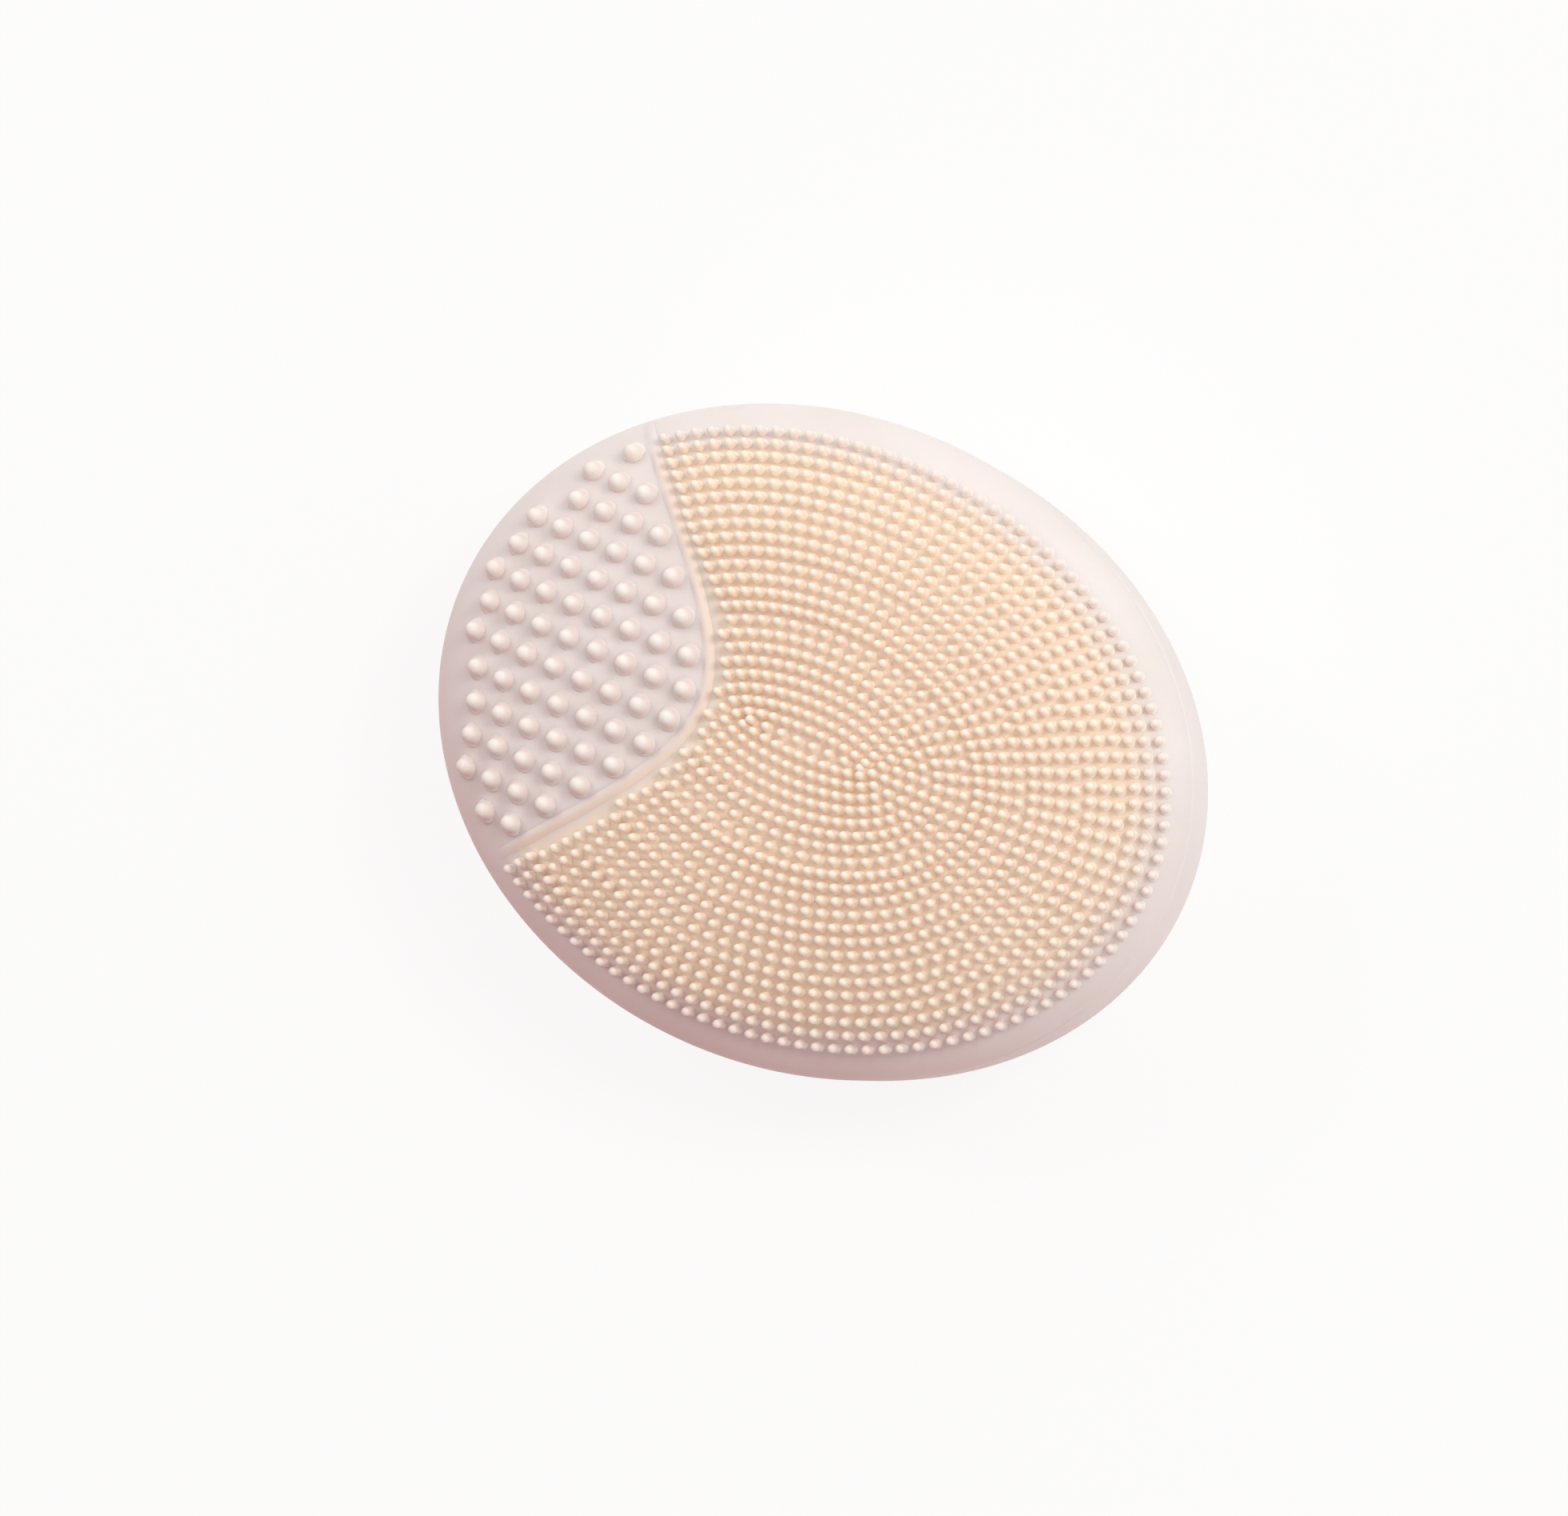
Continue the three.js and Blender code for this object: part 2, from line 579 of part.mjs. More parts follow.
function screw(x, y, headZ, tipZ) {
  const up = Math.sign(tipZ - headZ);
  const neckZ = headZ + up * SCREW_HEAD_HEIGHT;
  const head = upright(SCREW_HEAD_RADIUS, Math.min(headZ, neckZ), Math.max(headZ, neckZ), x, y, SMALL_SIDES);
  return head.add(upright(SCREW_RADIUS, Math.min(headZ, tipZ), Math.max(headZ, tipZ), x, y, SMALL_SIDES));
}

function mainBoard() {
  let board = roundedPlate(BOARD_X0, BOARD_X1, BOARD_WIDTH, BOARD_CORNER, BOARD_Z, BOARD_TOP_Z);
  for (const { x, y } of BOARD_SCREWS) {
    board = board.subtract(screwHole(x, y, FAR));
  }
  return board;
}

function controllerChip() {
  const half = CHIP_SIZE / 2;
  const z = BOARD_TOP_Z + CLEAR;
  return block(CHIP_X - half, CHIP_X + half, -half, half, z, z + CHIP_HEIGHT);
}

function batteryCell() {
  const x1 = BATTERY_X0 + BATTERY_LENGTH;
  return roundedPlate(BATTERY_X0, x1, BATTERY_WIDTH, BATTERY_CORNER, BATTERY_Z, BATTERY_Z + BATTERY_HEIGHT);
}

function batteryPad() {
  const x0 = BATTERY_X0 + PAD_INSET;
  const x1 = Math.min(BATTERY_X0 + BATTERY_LENGTH, BOARD_X1) - PAD_INSET;
  return roundedPlate(x0, x1, BATTERY_WIDTH - 2 * PAD_INSET, BATTERY_CORNER, PAD_Z, PAD_Z + PAD_HEIGHT);
}

function motorCan() {
  const boreEnd = MOTOR_X0 + SHAFT_IN + CLEAR;
  const bore = lengthwise(SHAFT_RADIUS + CLEAR, MOTOR_X0 - OVERSHOOT, boreEnd, MOTOR_Z, SMALL_SIDES);
  return lengthwise(MOTOR_RADIUS, MOTOR_X0, MOTOR_X1, MOTOR_Z).subtract(bore);
}

function motorCap() {
  return lengthwise(MOTOR_RADIUS, MOTOR_X1 + CLEAR, MOTOR_END_X, MOTOR_Z);
}

function motorShaft() {
  return lengthwise(SHAFT_RADIUS, MOTOR_X0 - SHAFT_OUT, MOTOR_X0 + SHAFT_IN, MOTOR_Z, SMALL_SIDES);
}

// The weight hangs below the shaft: a half disc round a hub
function eccentricWeight() {
  const x1 = MOTOR_X0 - WEIGHT_STANDOFF;
  const x0 = x1 - WEIGHT_LENGTH;
  const half = lengthwise(WEIGHT_RADIUS, x0, x1, MOTOR_Z).intersect(slab(-FAR, MOTOR_Z));
  const hub = lengthwise(WEIGHT_HUB_RADIUS, x0, x1, MOTOR_Z);
  const bore = lengthwise(SHAFT_RADIUS + CLEAR, x0 - OVERSHOOT, x1 + OVERSHOOT, MOTOR_Z, SMALL_SIDES);
  return half.add(hub).subtract(bore);
}

function motorBoot() {
  const x0 = BOOT_X - BOOT_LENGTH / 2;
  const x1 = BOOT_X + BOOT_LENGTH / 2;
  const bore = lengthwise(MOTOR_RADIUS + CLEAR, x0 - OVERSHOOT, x1 + OVERSHOOT, MOTOR_Z);
  return lengthwise(BOOT_RADIUS, x0, x1, MOTOR_Z).subtract(bore);
}

// The bracket: a saddle under the motor with an ear each side, screwed up into the front shell
function motorBracket() {
  const x0 = BOOT_X - BRACKET_LENGTH / 2;
  const x1 = BOOT_X + BRACKET_LENGTH / 2;
  const earY = EAR_Y + EAR_REACH / 2;
  const earZ = EAR_TOP_Z - EAR_THICKNESS;
  let bracket = lengthwise(SADDLE_RADIUS + BRACKET_WALL, x0, x1, MOTOR_Z).intersect(slab(-FAR, EAR_TOP_Z));
  bracket = bracket.add(block(x0, x1, -earY, earY, earZ, EAR_TOP_Z));
  bracket = bracket.subtract(lengthwise(SADDLE_RADIUS, x0 - OVERSHOOT, x1 + OVERSHOOT, MOTOR_Z));
  for (const { x, y } of BRACKET_SCREWS) {
    bracket = bracket.subtract(screwHole(x, y, FAR));
  }
  return bracket;
}

function chargePin(side) {
  return upright(PIN_RADIUS, PIN_RECESS, BOARD_Z - CLEAR, PIN_X, side * PIN_Y, SMALL_SIDES);
}

function pinHolder() {
  const half = PIN_Y + PIN_RADIUS + CLEAR + HOLDER_WALL;
  const x0 = PIN_X - HOLDER_LENGTH / 2;
  const x1 = PIN_X + HOLDER_LENGTH / 2;
  const floorZ = backHeight(x1, half, CAVITY_INSET) + CLEAR;
  let holder = block(x0, x1, -half, half, floorZ, BOARD_Z - CLEAR);
  for (const side of SIDES_OF_AXIS) {
    holder = holder.subtract(upright(PIN_RADIUS + CLEAR, 0, FAR, PIN_X, side * PIN_Y, SMALL_SIDES));
  }
  return holder;
}

function lightGuide() {
  return upright(GUIDE_RADIUS, PIN_RECESS, GUIDE_TOP_Z, 0, GUIDE_Y, SMALL_SIDES);
}

function statusLed() {
  const half = LED_SIZE / 2;
  return block(-half, half, GUIDE_Y - half, GUIDE_Y + half, GUIDE_TOP_Z + CLEAR, BOARD_Z - CLEAR);
}

// Leads run from the motor's end and the battery's end down to pads on the board
function lead(points) {
  const section = new THREE.Shape(
    new THREE.EllipseCurve(0, 0, LEAD_RADIUS, LEAD_RADIUS).getPoints(LEAD_SIDES).slice(0, LEAD_SIDES),
  );
  const path = new THREE.CatmullRomCurve3(points);
  return solid(new THREE.ExtrudeGeometry(section, { steps: LEAD_STEPS, extrudePath: path }));
}

function motorLead(side) {
  const gapX = MOTOR_END_X + CLEAR + LEAD_RADIUS;
  const padZ = BOARD_TOP_Z + CLEAR;
  return lead([
    new THREE.Vector3(gapX, side * MOTOR_LEAD_Y, MOTOR_Z),
    new THREE.Vector3(gapX, side * (MOTOR_LEAD_Y + MOTOR_PAD_Y) / 2, (MOTOR_Z + BATTERY_Z) / 2),
    new THREE.Vector3(PAD_X, side * MOTOR_PAD_Y, BATTERY_Z),
    new THREE.Vector3(PAD_X, side * MOTOR_PAD_Y, padZ),
  ]);
}

function batteryLead(side) {
  const padZ = BOARD_TOP_Z + CLEAR;
  const cellZ = BATTERY_Z + BATTERY_HEIGHT / 2;
  return lead([
    new THREE.Vector3(BATTERY_X0 - CLEAR, side * BATTERY_LEAD_Y, cellZ),
    new THREE.Vector3((BATTERY_X0 + PAD_X) / 2, side * BATTERY_LEAD_Y, cellZ),
    new THREE.Vector3(PAD_X, side * BATTERY_PAD_Y, BATTERY_Z),
    new THREE.Vector3(PAD_X, side * BATTERY_PAD_Y, padZ),
  ]);
}

// Assembly
const brush = new THREE.Group();

function place(name, body, material, home = brush) {
  const mesh = new THREE.Mesh(geometryOf(body), material);
  mesh.name = name;
  home.add(mesh);
}

const housing = new THREE.Group();
brush.add(housing);
place('front_skin', frontSkin(), SILICONE, housing);
place('rear_skin', rearSkin(), SILICONE_BACK, housing);
place('front_shell', frontShell(), SHELL_PLASTIC, housing);
place('rear_shell', rearShell(), SHELL_PLASTIC, housing);
place('shell_seal', shellSeal(), SEAL_RUBBER, housing);

const electronics = new THREE.Group();
brush.add(electronics);
place('main_board', mainBoard(), BOARD_GREEN, electronics);
place('controller_chip', controllerChip(), BLACK_PLASTIC, electronics);
place('battery_cell', batteryCell(), CELL_WRAP, electronics);
place('battery_pad', batteryPad(), FOAM_GREY, electronics);
place('pin_holder', pinHolder(), BLACK_PLASTIC, electronics);
place('light_guide', lightGuide(), CLEAR_PLASTIC, electronics);
place('status_led', statusLed(), CLEAR_PLASTIC, electronics);

for (const control of BUTTONS) {
  place(`${control.name}_button`, button(control), SILICONE_BACK);
  place(`${control.name}_switch`, switchBody(control.x), BLACK_PLASTIC);
  place(`${control.name}_plunger`, plunger(control.x), CLEAR_PLASTIC);
}

const drive = new THREE.Group();
brush.add(drive);
place('motor_can', motorCan(), STEEL, drive);
place('motor_cap', motorCap(), BLACK_PLASTIC, drive);
place('motor_shaft', motorShaft(), STEEL, drive);
place('eccentric_weight', eccentricWeight(), BRASS, drive);
place('motor_boot', motorBoot(), SEAL_RUBBER, drive);
place('motor_bracket', motorBracket(), SHELL_PLASTIC, drive);

for (const side of SIDES_OF_AXIS) {
  const hand = side > 0 ? 'left' : 'right';
  const wire = side > 0 ? 'red' : 'black';
  const leadColour = side > 0 ? LEAD_RED : LEAD_BLACK;
  place(`charge_pin_${hand}`, chargePin(side), BRASS, electronics);
  place(`motor_lead_${wire}`, motorLead(side), leadColour, electronics);
  place(`battery_lead_${wire}`, batteryLead(side), leadColour, electronics);
}

// Fasteners, named by the end and the side that they stand on
function sideName({ x, y }, ends) {
  const hand = y > 0 ? 'left' : 'right';
  const end = x > 0 ? 'end' : 'tip';
  return ends ? `${end}_${hand}` : hand;
}

for (const spot of BRACKET_SCREWS) {
  const headZ = EAR_TOP_Z - EAR_THICKNESS - CLEAR - SCREW_HEAD_HEIGHT;
  const body = screw(spot.x, spot.y, headZ, EAR_TOP_Z + SCREW_GRIP);
  place(`bracket_screw_${sideName(spot, false)}`, body, STEEL);
}

for (const spot of BOARD_SCREWS) {
  const headZ = BOARD_TOP_Z + CLEAR + SCREW_HEAD_HEIGHT;
  const body = screw(spot.x, spot.y, headZ, CAVITY_INSET + CLEAR);
  place(`board_screw_${sideName(spot, false)}`, body, STEEL);
}

for (const spot of SHELL_SCREWS) {
  const body = screw(spot.x, spot.y, SHELL_SCREW_HEAD_Z, SHELL_SCREW_TIP_Z);
  place(`shell_screw_${sideName(spot, true)}`, body, STEEL);
}

export default brush;
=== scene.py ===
"""The looks of a palm-size silicone face brush, built over its CAD frame.

The brush lies on its back, face up. X runs from the tip with the thick bristles (-X) to the round
end (+X), and Z points out of the bristled face. Lengths below are in metres, written with MM.
"""
import math

import bmesh
import bpy
import numpy as np
from mathutils import Matrix, Vector


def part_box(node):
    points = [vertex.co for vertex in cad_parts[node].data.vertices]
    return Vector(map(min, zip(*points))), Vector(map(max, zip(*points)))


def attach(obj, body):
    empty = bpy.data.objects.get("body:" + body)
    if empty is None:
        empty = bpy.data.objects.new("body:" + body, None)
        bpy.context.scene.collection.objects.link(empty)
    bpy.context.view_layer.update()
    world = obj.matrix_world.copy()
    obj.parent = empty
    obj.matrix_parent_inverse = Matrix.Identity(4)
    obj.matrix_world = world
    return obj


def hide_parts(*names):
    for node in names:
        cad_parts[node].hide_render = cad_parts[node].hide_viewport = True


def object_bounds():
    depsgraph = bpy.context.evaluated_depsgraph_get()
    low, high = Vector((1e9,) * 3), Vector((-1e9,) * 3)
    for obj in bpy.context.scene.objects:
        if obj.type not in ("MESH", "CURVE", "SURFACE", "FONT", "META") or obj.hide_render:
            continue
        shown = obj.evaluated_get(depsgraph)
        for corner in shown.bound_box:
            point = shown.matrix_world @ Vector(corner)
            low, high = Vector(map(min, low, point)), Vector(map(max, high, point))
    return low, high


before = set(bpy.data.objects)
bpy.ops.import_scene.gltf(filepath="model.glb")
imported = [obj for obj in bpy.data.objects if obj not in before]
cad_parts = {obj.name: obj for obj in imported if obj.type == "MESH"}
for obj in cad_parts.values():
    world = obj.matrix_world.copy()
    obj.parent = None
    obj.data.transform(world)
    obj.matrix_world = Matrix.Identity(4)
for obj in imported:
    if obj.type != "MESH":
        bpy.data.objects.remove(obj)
cad_low, cad_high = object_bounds()

MM = 0.001

# Photograph: where the camera stood and what its frame shows
IMAGE_WIDTH = 1960
IMAGE_HEIGHT = 1895
AIM_PIXEL = (1010.0, 924.5)
PIXELS_PER_MM = 12.2
VIEW_TILT = math.radians(15.95)
VIEW_TURN = math.radians(8.0)
VIEW_ROLL = math.radians(23.9)
VIEW_DISTANCE = 500 * MM
SENSOR_WIDTH = 36.0
CLIP_START = 0.01
CLIP_END = 20

# Body: the oval pebble of the CAD skins
HALF_LENGTH = cad_high.x
HALF_WIDTH = cad_high.y
EQUATOR_Z = 15.5 * MM
FACE_RISE = 11.5 * MM
BACK_DROP = 15.65 * MM
FACE_PLAN_POWER = 2.5
FACE_RISE_POWER = 2.05
BACK_PLAN_POWER = 4
BACK_RISE_POWER = 9
SKIN_WALL = 2.0 * MM
BODY_SIDES = 288
FACE_ROWS = 72
EDGE_ROWS = 2
BACK_ROWS = 56

# Seam between the front and the rear skin
FRONT_EDGE_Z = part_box("front_skin")[0].z
REAR_EDGE_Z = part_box("rear_skin")[1].z
LIP_RADIUS = 0.6 * MM
LIP_STEPS = 6

# Fine bristles stand in rings round a short middle row
RING_PITCH = 1.353 * MM
RING_CENTRE_X = 3.4 * MM
RING_DRIFT = 0.125 * MM
RING_STRETCH = 6.2 * MM
RING_COUNT = 22
INNER_SPACING = 1.36 * MM
PER_RING = {8: 56, 12: 80, 16: 96, 19: 110, 22: 126}
INNER_RINGS = 5
RING_EVENNESS = 0.85
RING_STEPS = 721
CENTRE_ROW_COUNT = 8
FIELD_FADE = (-0.6 * MM, 3.2 * MM)
FINE_RADIUS = 0.5 * MM
FINE_TIP_RADIUS = 0.45 * MM
FINE_HEIGHT = 1.8 * MM
FINE_SIDES = 10

# Thick bristles stand in straight rows at the tip
THICK_PITCH_X = 3.48 * MM
THICK_PITCH_Y = 3.3 * MM
THICK_SIDE_ROWS = 6
THICK_EDGE_GAP = 3.4 * MM
THICK_RADIUS = 1.0 * MM
THICK_TIP_RADIUS = 0.82 * MM
THICK_HEIGHT = 2.0 * MM
THICK_SIDES = 20

# Every bristle has a root in the skin, a flared foot and a round tip
ROOT_DEPTH = 1.2 * MM
FOOT_SHARE = 0.35
FOOT_STEPS = 3
TIP_STEPS = 4
# How far the bristles turn from straight up to square to the face
BRISTLE_LEAN = 0.2

# Ridge between the two fields
RIDGE_APEX_X = -8.55 * MM
RIDGE_SLOPE = 1.2
RIDGE_BEND = 11.5 * MM
RIDGE_LEAN = 0.095
RIDGE_HALF_SPAN = 23.5 * MM
RIDGE_HALF_WIDTH = 0.85 * MM
RIDGE_HEIGHT = 0.3 * MM
RIDGE_STEPS = 120
RIDGE_ACROSS = 12
RIDGE_FADE = (-0.5 * MM, 3 * MM)
RIDGE_SINK = 0.25 * MM
RIDGE_SINK_POWER = 6
RIDGE_TO_THICK = 2.15 * MM
RIDGE_TO_FINE = 1.3 * MM
RIDGE_BLEND = (0.2 * MM, 1.6 * MM)
BEAD_BLEND = (-RIDGE_HALF_WIDTH, RIDGE_HALF_WIDTH)

# Back: holes round the buttons, the charging pins and the status light
HOLE_GAP = 0.3 * MM
HOLE_SIDES = 64
WELD_DISTANCE = 0.002 * MM
BUTTON_EDGE = 0.35 * MM
PIN_EDGE = 0.2 * MM
DISH_DEPTH = 0.12 * MM
DISH_STEPS = 8
DISH_SHARES = (0.15, 0.8)
POST_RADIUS = 2.0 * MM
POST_OVERLAP = 0.1 * MM
BUTTONS = ("power_button", "plus_button", "minus_button")
PINS = ("charge_pin_left", "charge_pin_right", "light_guide")
HOLE_SHARP = math.radians(40)
EDGE_SHARP = math.radians(45)

# Marks of the buttons
MARK_PROUD = 0.06 * MM
MARK_ROOT = 0.24 * MM
MARK_HALF_LENGTH = 1.5 * MM
MARK_HALF_WIDTH = 0.25 * MM
MARK_END_STEPS = 8
POWER_RING_RADIUS = 1.9 * MM
POWER_RING_GAP = math.radians(32)
POWER_RING_STEPS = 40
POWER_BAR_HALF_LENGTH = 1.0 * MM
POWER_BAR_SHIFT = 1.3 * MM


def sample(steps, start, end):
    """Evenly spaced values from start to end, both included."""
    return [start + (end - start) * step / steps for step in range(steps + 1)]


def plan_centre(low, high):
    """The middle of a box in plan."""
    return ((low.x + high.x) / 2, (low.y + high.y) / 2)


# Surface of the face
def reach(x, y, inset=0.0):
    """How far out a point in plan lies: 0 in the middle, 1 on the body's widest line."""
    return math.hypot(x / (HALF_LENGTH - inset), y / (HALF_WIDTH - inset))


def face_point(x, y):
    """The point of the domed face above a place in plan, and the face's outward normal there."""
    rho = reach(x, y)
    level = (1 - rho**FACE_PLAN_POWER) ** (1 / FACE_RISE_POWER)
    plan = FACE_PLAN_POWER * rho ** (FACE_PLAN_POWER - 2)
    rise = FACE_RISE_POWER * level ** (FACE_RISE_POWER - 1)
    normal = Vector((plan * x / HALF_LENGTH**2, plan * y / HALF_WIDTH**2, rise / FACE_RISE))
    return Vector((x, y, EQUATOR_Z + FACE_RISE * level)), normal.normalized()


def ridge_x(y):
    return RIDGE_APEX_X - RIDGE_SLOPE * (math.hypot(y, RIDGE_BEND) - RIDGE_BEND) - RIDGE_LEAN * y


def ridge_run(y):
    """How far the ridge moves along X for each step along Y."""
    return -RIDGE_SLOPE * y / math.hypot(y, RIDGE_BEND) - RIDGE_LEAN


def ridge_stretch(y):
    """How much longer a step along X is than the same step square to the ridge."""
    return math.hypot(1, ridge_run(y))


def ridge_gap(x, y):
    """Distance of a point from the ridge, positive on the side of the fine bristles."""
    return (x - ridge_x(y)) / ridge_stretch(y)


def ring_shape(ring):
    """Middle, half length and half width of a ring. Each ring's middle lies a little nearer the tip."""
    half_y = ring * RING_PITCH
    drift = ring * RING_DRIFT
    return RING_CENTRE_X - drift, half_y + drift + RING_STRETCH, half_y


def field_depth(x, y):
    """How far inside the outermost ring of fine bristles a point lies."""
    middle, half_x, half_y = ring_shape(RING_COUNT)
    return (1 - math.hypot((x - middle) / half_x, y / half_y)) * half_y


def smooth_step(value, low, high):
    share = min(max((value - low) / (high - low), 0.0), 1.0)
    return share * share * (3 - 2 * share)


def warm_share(x, y):
    """How much of the field's warm tone a point has: the outermost rings fade to the tone of the rim."""
    return smooth_step(field_depth(x, y), *FIELD_FADE)


# Mesh helpers
def mesh_object(name, points, faces, sharp=None):
    """A smooth-shaded object from points and faces, with edges over the angle `sharp` kept sharp."""
    mesh = bpy.data.meshes.new(name)
    mesh.from_pydata([tuple(p) for p in points], [], faces)
    mesh.validate()
    mesh.update()
    mesh.shade_smooth()
    if sharp is not None:
        mesh.set_sharp_from_angle(angle=sharp)
    piece = bpy.data.objects.new(name, mesh)
    bpy.context.scene.collection.objects.link(piece)
    return piece


def set_values(piece, name, values):
    """Stores one number per point, which the material reads by that name."""
    layer = piece.data.attributes.new(name, "FLOAT", "POINT")
    layer.data.foreach_set("value", np.asarray(values, np.float32))


def loft(rings, sides):
    """Points and faces of a closed skin through oval rings (half length, half width, height).
    The first and the last ring are single points."""
    points = []
    faces = []
    starts = []
    for half_x, half_y, z in rings:
        starts.append(len(points))
        if half_x <= 0:
            points.append((0, 0, z))
            continue
        for side in range(sides):
            angle = 2 * math.pi * side / sides
            points.append((half_x * math.cos(angle), half_y * math.sin(angle), z))
    for row in range(len(rings) - 1):
        low, high = starts[row], starts[row + 1]
        for side in range(sides):
            after = (side + 1) % sides
            if rings[row][0] <= 0:
                faces.append((low, high + after, high + side))
            elif rings[row + 1][0] <= 0:
                faces.append((low + side, low + after, high))
            else:
                faces.append((low + side, low + after, high + after, high + side))
    return points, faces


def lathe(profile, sides, centre):
    """Points and faces of a form turned about a vertical axis, from (radius, height) pairs."""
    points, faces = loft([(radius, radius, z) for radius, z in profile], sides)
    return [(x + centre[0], y + centre[1], z) for x, y, z in points], faces


# Rings of the skins
def face_rings(inset, bottom_z):
    """From the edge at bottom_z up to the middle of the face."""
    half_x, half_y = HALF_LENGTH - inset, HALF_WIDTH - inset
    rings = [(half_x, half_y, z) for z in sample(EDGE_ROWS, bottom_z, EQUATOR_Z)[:-1]]
    for turn in sample(FACE_ROWS, math.pi / 2, 0):
        rho = math.sin(turn) ** (2 / FACE_PLAN_POWER)
        z = EQUATOR_Z + (FACE_RISE - inset) * max(math.cos(turn), 0) ** (2 / FACE_RISE_POWER)
        rings.append((half_x * rho, half_y * rho, z))
    rings[-1] = (0, 0, rings[-1][2])
    return rings


def back_rings(inset, top_z):
    """From the middle of the flat back out and up to the edge at top_z."""
    half_x, half_y = HALF_LENGTH - inset, HALF_WIDTH - inset
    drop = BACK_DROP - inset
    rings = [(0, 0, inset)]
    for turn in sample(BACK_ROWS, 0, math.pi / 2)[1:]:
        rho = math.sin(turn) ** (2 / BACK_PLAN_POWER)
        z = EQUATOR_Z - drop * max(math.cos(turn), 0) ** (2 / BACK_RISE_POWER)
        if z < top_z:
            rings.append((half_x * rho, half_y * rho, max(z, inset)))
    rings.append((half_x, half_y, top_z))
    return rings


def lip(edge_z, up):
    """The rounded edge of a skin at the seam, from its outer face to its underside."""
    rings = []
    for turn in sample(LIP_STEPS, 0, math.pi / 2):
        inset = LIP_RADIUS * (1 - math.cos(turn))
        z = edge_z + up * LIP_RADIUS * (1 - math.sin(turn))
        rings.append((HALF_LENGTH - inset, HALF_WIDTH - inset, z))
    return rings


def front_skin():
    """The domed front of the skin: a closed shell from its inside round the lip to the outside."""
    inner = face_rings(SKIN_WALL, FRONT_EDGE_Z)
    outer = face_rings(0, FRONT_EDGE_Z + LIP_RADIUS)
    rings = inner[::-1] + lip(FRONT_EDGE_Z, 1)[::-1] + outer[1:]
    points, faces = loft(rings, BODY_SIDES)
    piece = mesh_object("front_skin_smooth", points, faces)
    warmth = []
    for x, y, z in points:
        beyond_ridge = smooth_step(ridge_gap(x, y), *RIDGE_BLEND)
        warmth.append(warm_share(x, y) * beyond_ridge)
    set_values(piece, "warmth", warmth)
    return piece


def rear_skin():
    """The rear skin, with a rounded hole for each button, pin and light."""
    inner = back_rings(SKIN_WALL, REAR_EDGE_Z)
    outer = back_rings(0, REAR_EDGE_Z - LIP_RADIUS)
    rings = outer[:-1] + lip(REAR_EDGE_Z, -1) + inner[::-1]
    points, faces = loft(rings, BODY_SIDES)
    piece = mesh_object("rear_skin_smooth", points, faces)
    for node in BUTTONS + PINS:
        cut_hole(piece, node)
    weld(piece)
    set_values(piece, "warmth", [0.0] * len(piece.data.vertices))
    piece.data.shade_smooth()
    piece.data.set_sharp_from_angle(angle=HOLE_SHARP)
    return piece


def weld(piece):
    """Joins points that lie on each other, and drops the slivers between them."""
    whole = bmesh.new()
    whole.from_mesh(piece.data)
    bmesh.ops.remove_doubles(whole, verts=whole.verts, dist=WELD_DISTANCE)
    whole.to_mesh(piece.data)
    whole.free()


def cut_hole(piece, node):
    """Cuts a hole with a rounded mouth round a CAD node that comes out of the back."""
    low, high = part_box(node)
    centre = plan_centre(low, high)
    radius = (high.y - low.y) / 2 + HOLE_GAP
    profile = [(0, -BUTTON_EDGE)]
    profile.append((radius + BUTTON_EDGE, -BUTTON_EDGE))
    for turn in sample(LIP_STEPS, 0, math.pi / 2):
        profile.append((radius + BUTTON_EDGE * (1 - math.sin(turn)), BUTTON_EDGE * (1 - math.cos(turn))))
    profile.append((radius, 2 * SKIN_WALL))
    profile.append((0, 2 * SKIN_WALL))
    points, faces = lathe(profile, HOLE_SIDES, centre)
    cutter = mesh_object("hole_cutter", points, faces)
    cut = piece.modifiers.new("hole", "BOOLEAN")
    cut.object = cutter
    cut.operation = "DIFFERENCE"
    cut.solver = "EXACT"
    bpy.context.view_layer.update()
    evaluated = piece.evaluated_get(bpy.context.evaluated_depsgraph_get())
    mesh = bpy.data.meshes.new_from_object(evaluated)
    piece.modifiers.clear()
    piece.data = mesh
    bpy.data.objects.remove(cutter)


# Bristles
def fine_places():
    """Places of the fine bristles in plan: a middle row, then rings."""
    places = []
    for x in sample(CENTRE_ROW_COUNT - 1, RING_CENTRE_X - RING_STRETCH, RING_CENTRE_X + RING_STRETCH):
        places.append((x, 0.0))
    for ring in range(1, RING_COUNT + 1):
        places += ring_places(ring)
    return [(x, y) for x, y in places if ridge_gap(x, y) > RIDGE_TO_FINE]


def ring_places(ring):
    """Places along one ring. The inner rings have even steps. The rings of an outer group share one
    number of bristles, which stand a little closer at the ends, so that they line up in the group."""
    middle, half_x, half_y = ring_shape(ring)
    angles = np.linspace(0, 2 * math.pi, RING_STEPS)
    steps = np.hypot(half_x * np.sin(angles), half_y * np.cos(angles))
    run = np.concatenate([[0], np.cumsum((steps[1:] + steps[:-1]) / 2 * (angles[1] - angles[0]))])
    share = run / run[-1]
    if ring <= INNER_RINGS:
        count = 2 * round(run[-1] / INNER_SPACING / 2)
    else:
        count = PER_RING[min(last for last in PER_RING if ring <= last)]
        share = RING_EVENNESS * share + (1 - RING_EVENNESS) * angles / angles[-1]
    found = np.interp(np.arange(count) / count, share, angles)
    return [(middle + half_x * math.cos(angle), half_y * math.sin(angle)) for angle in found]


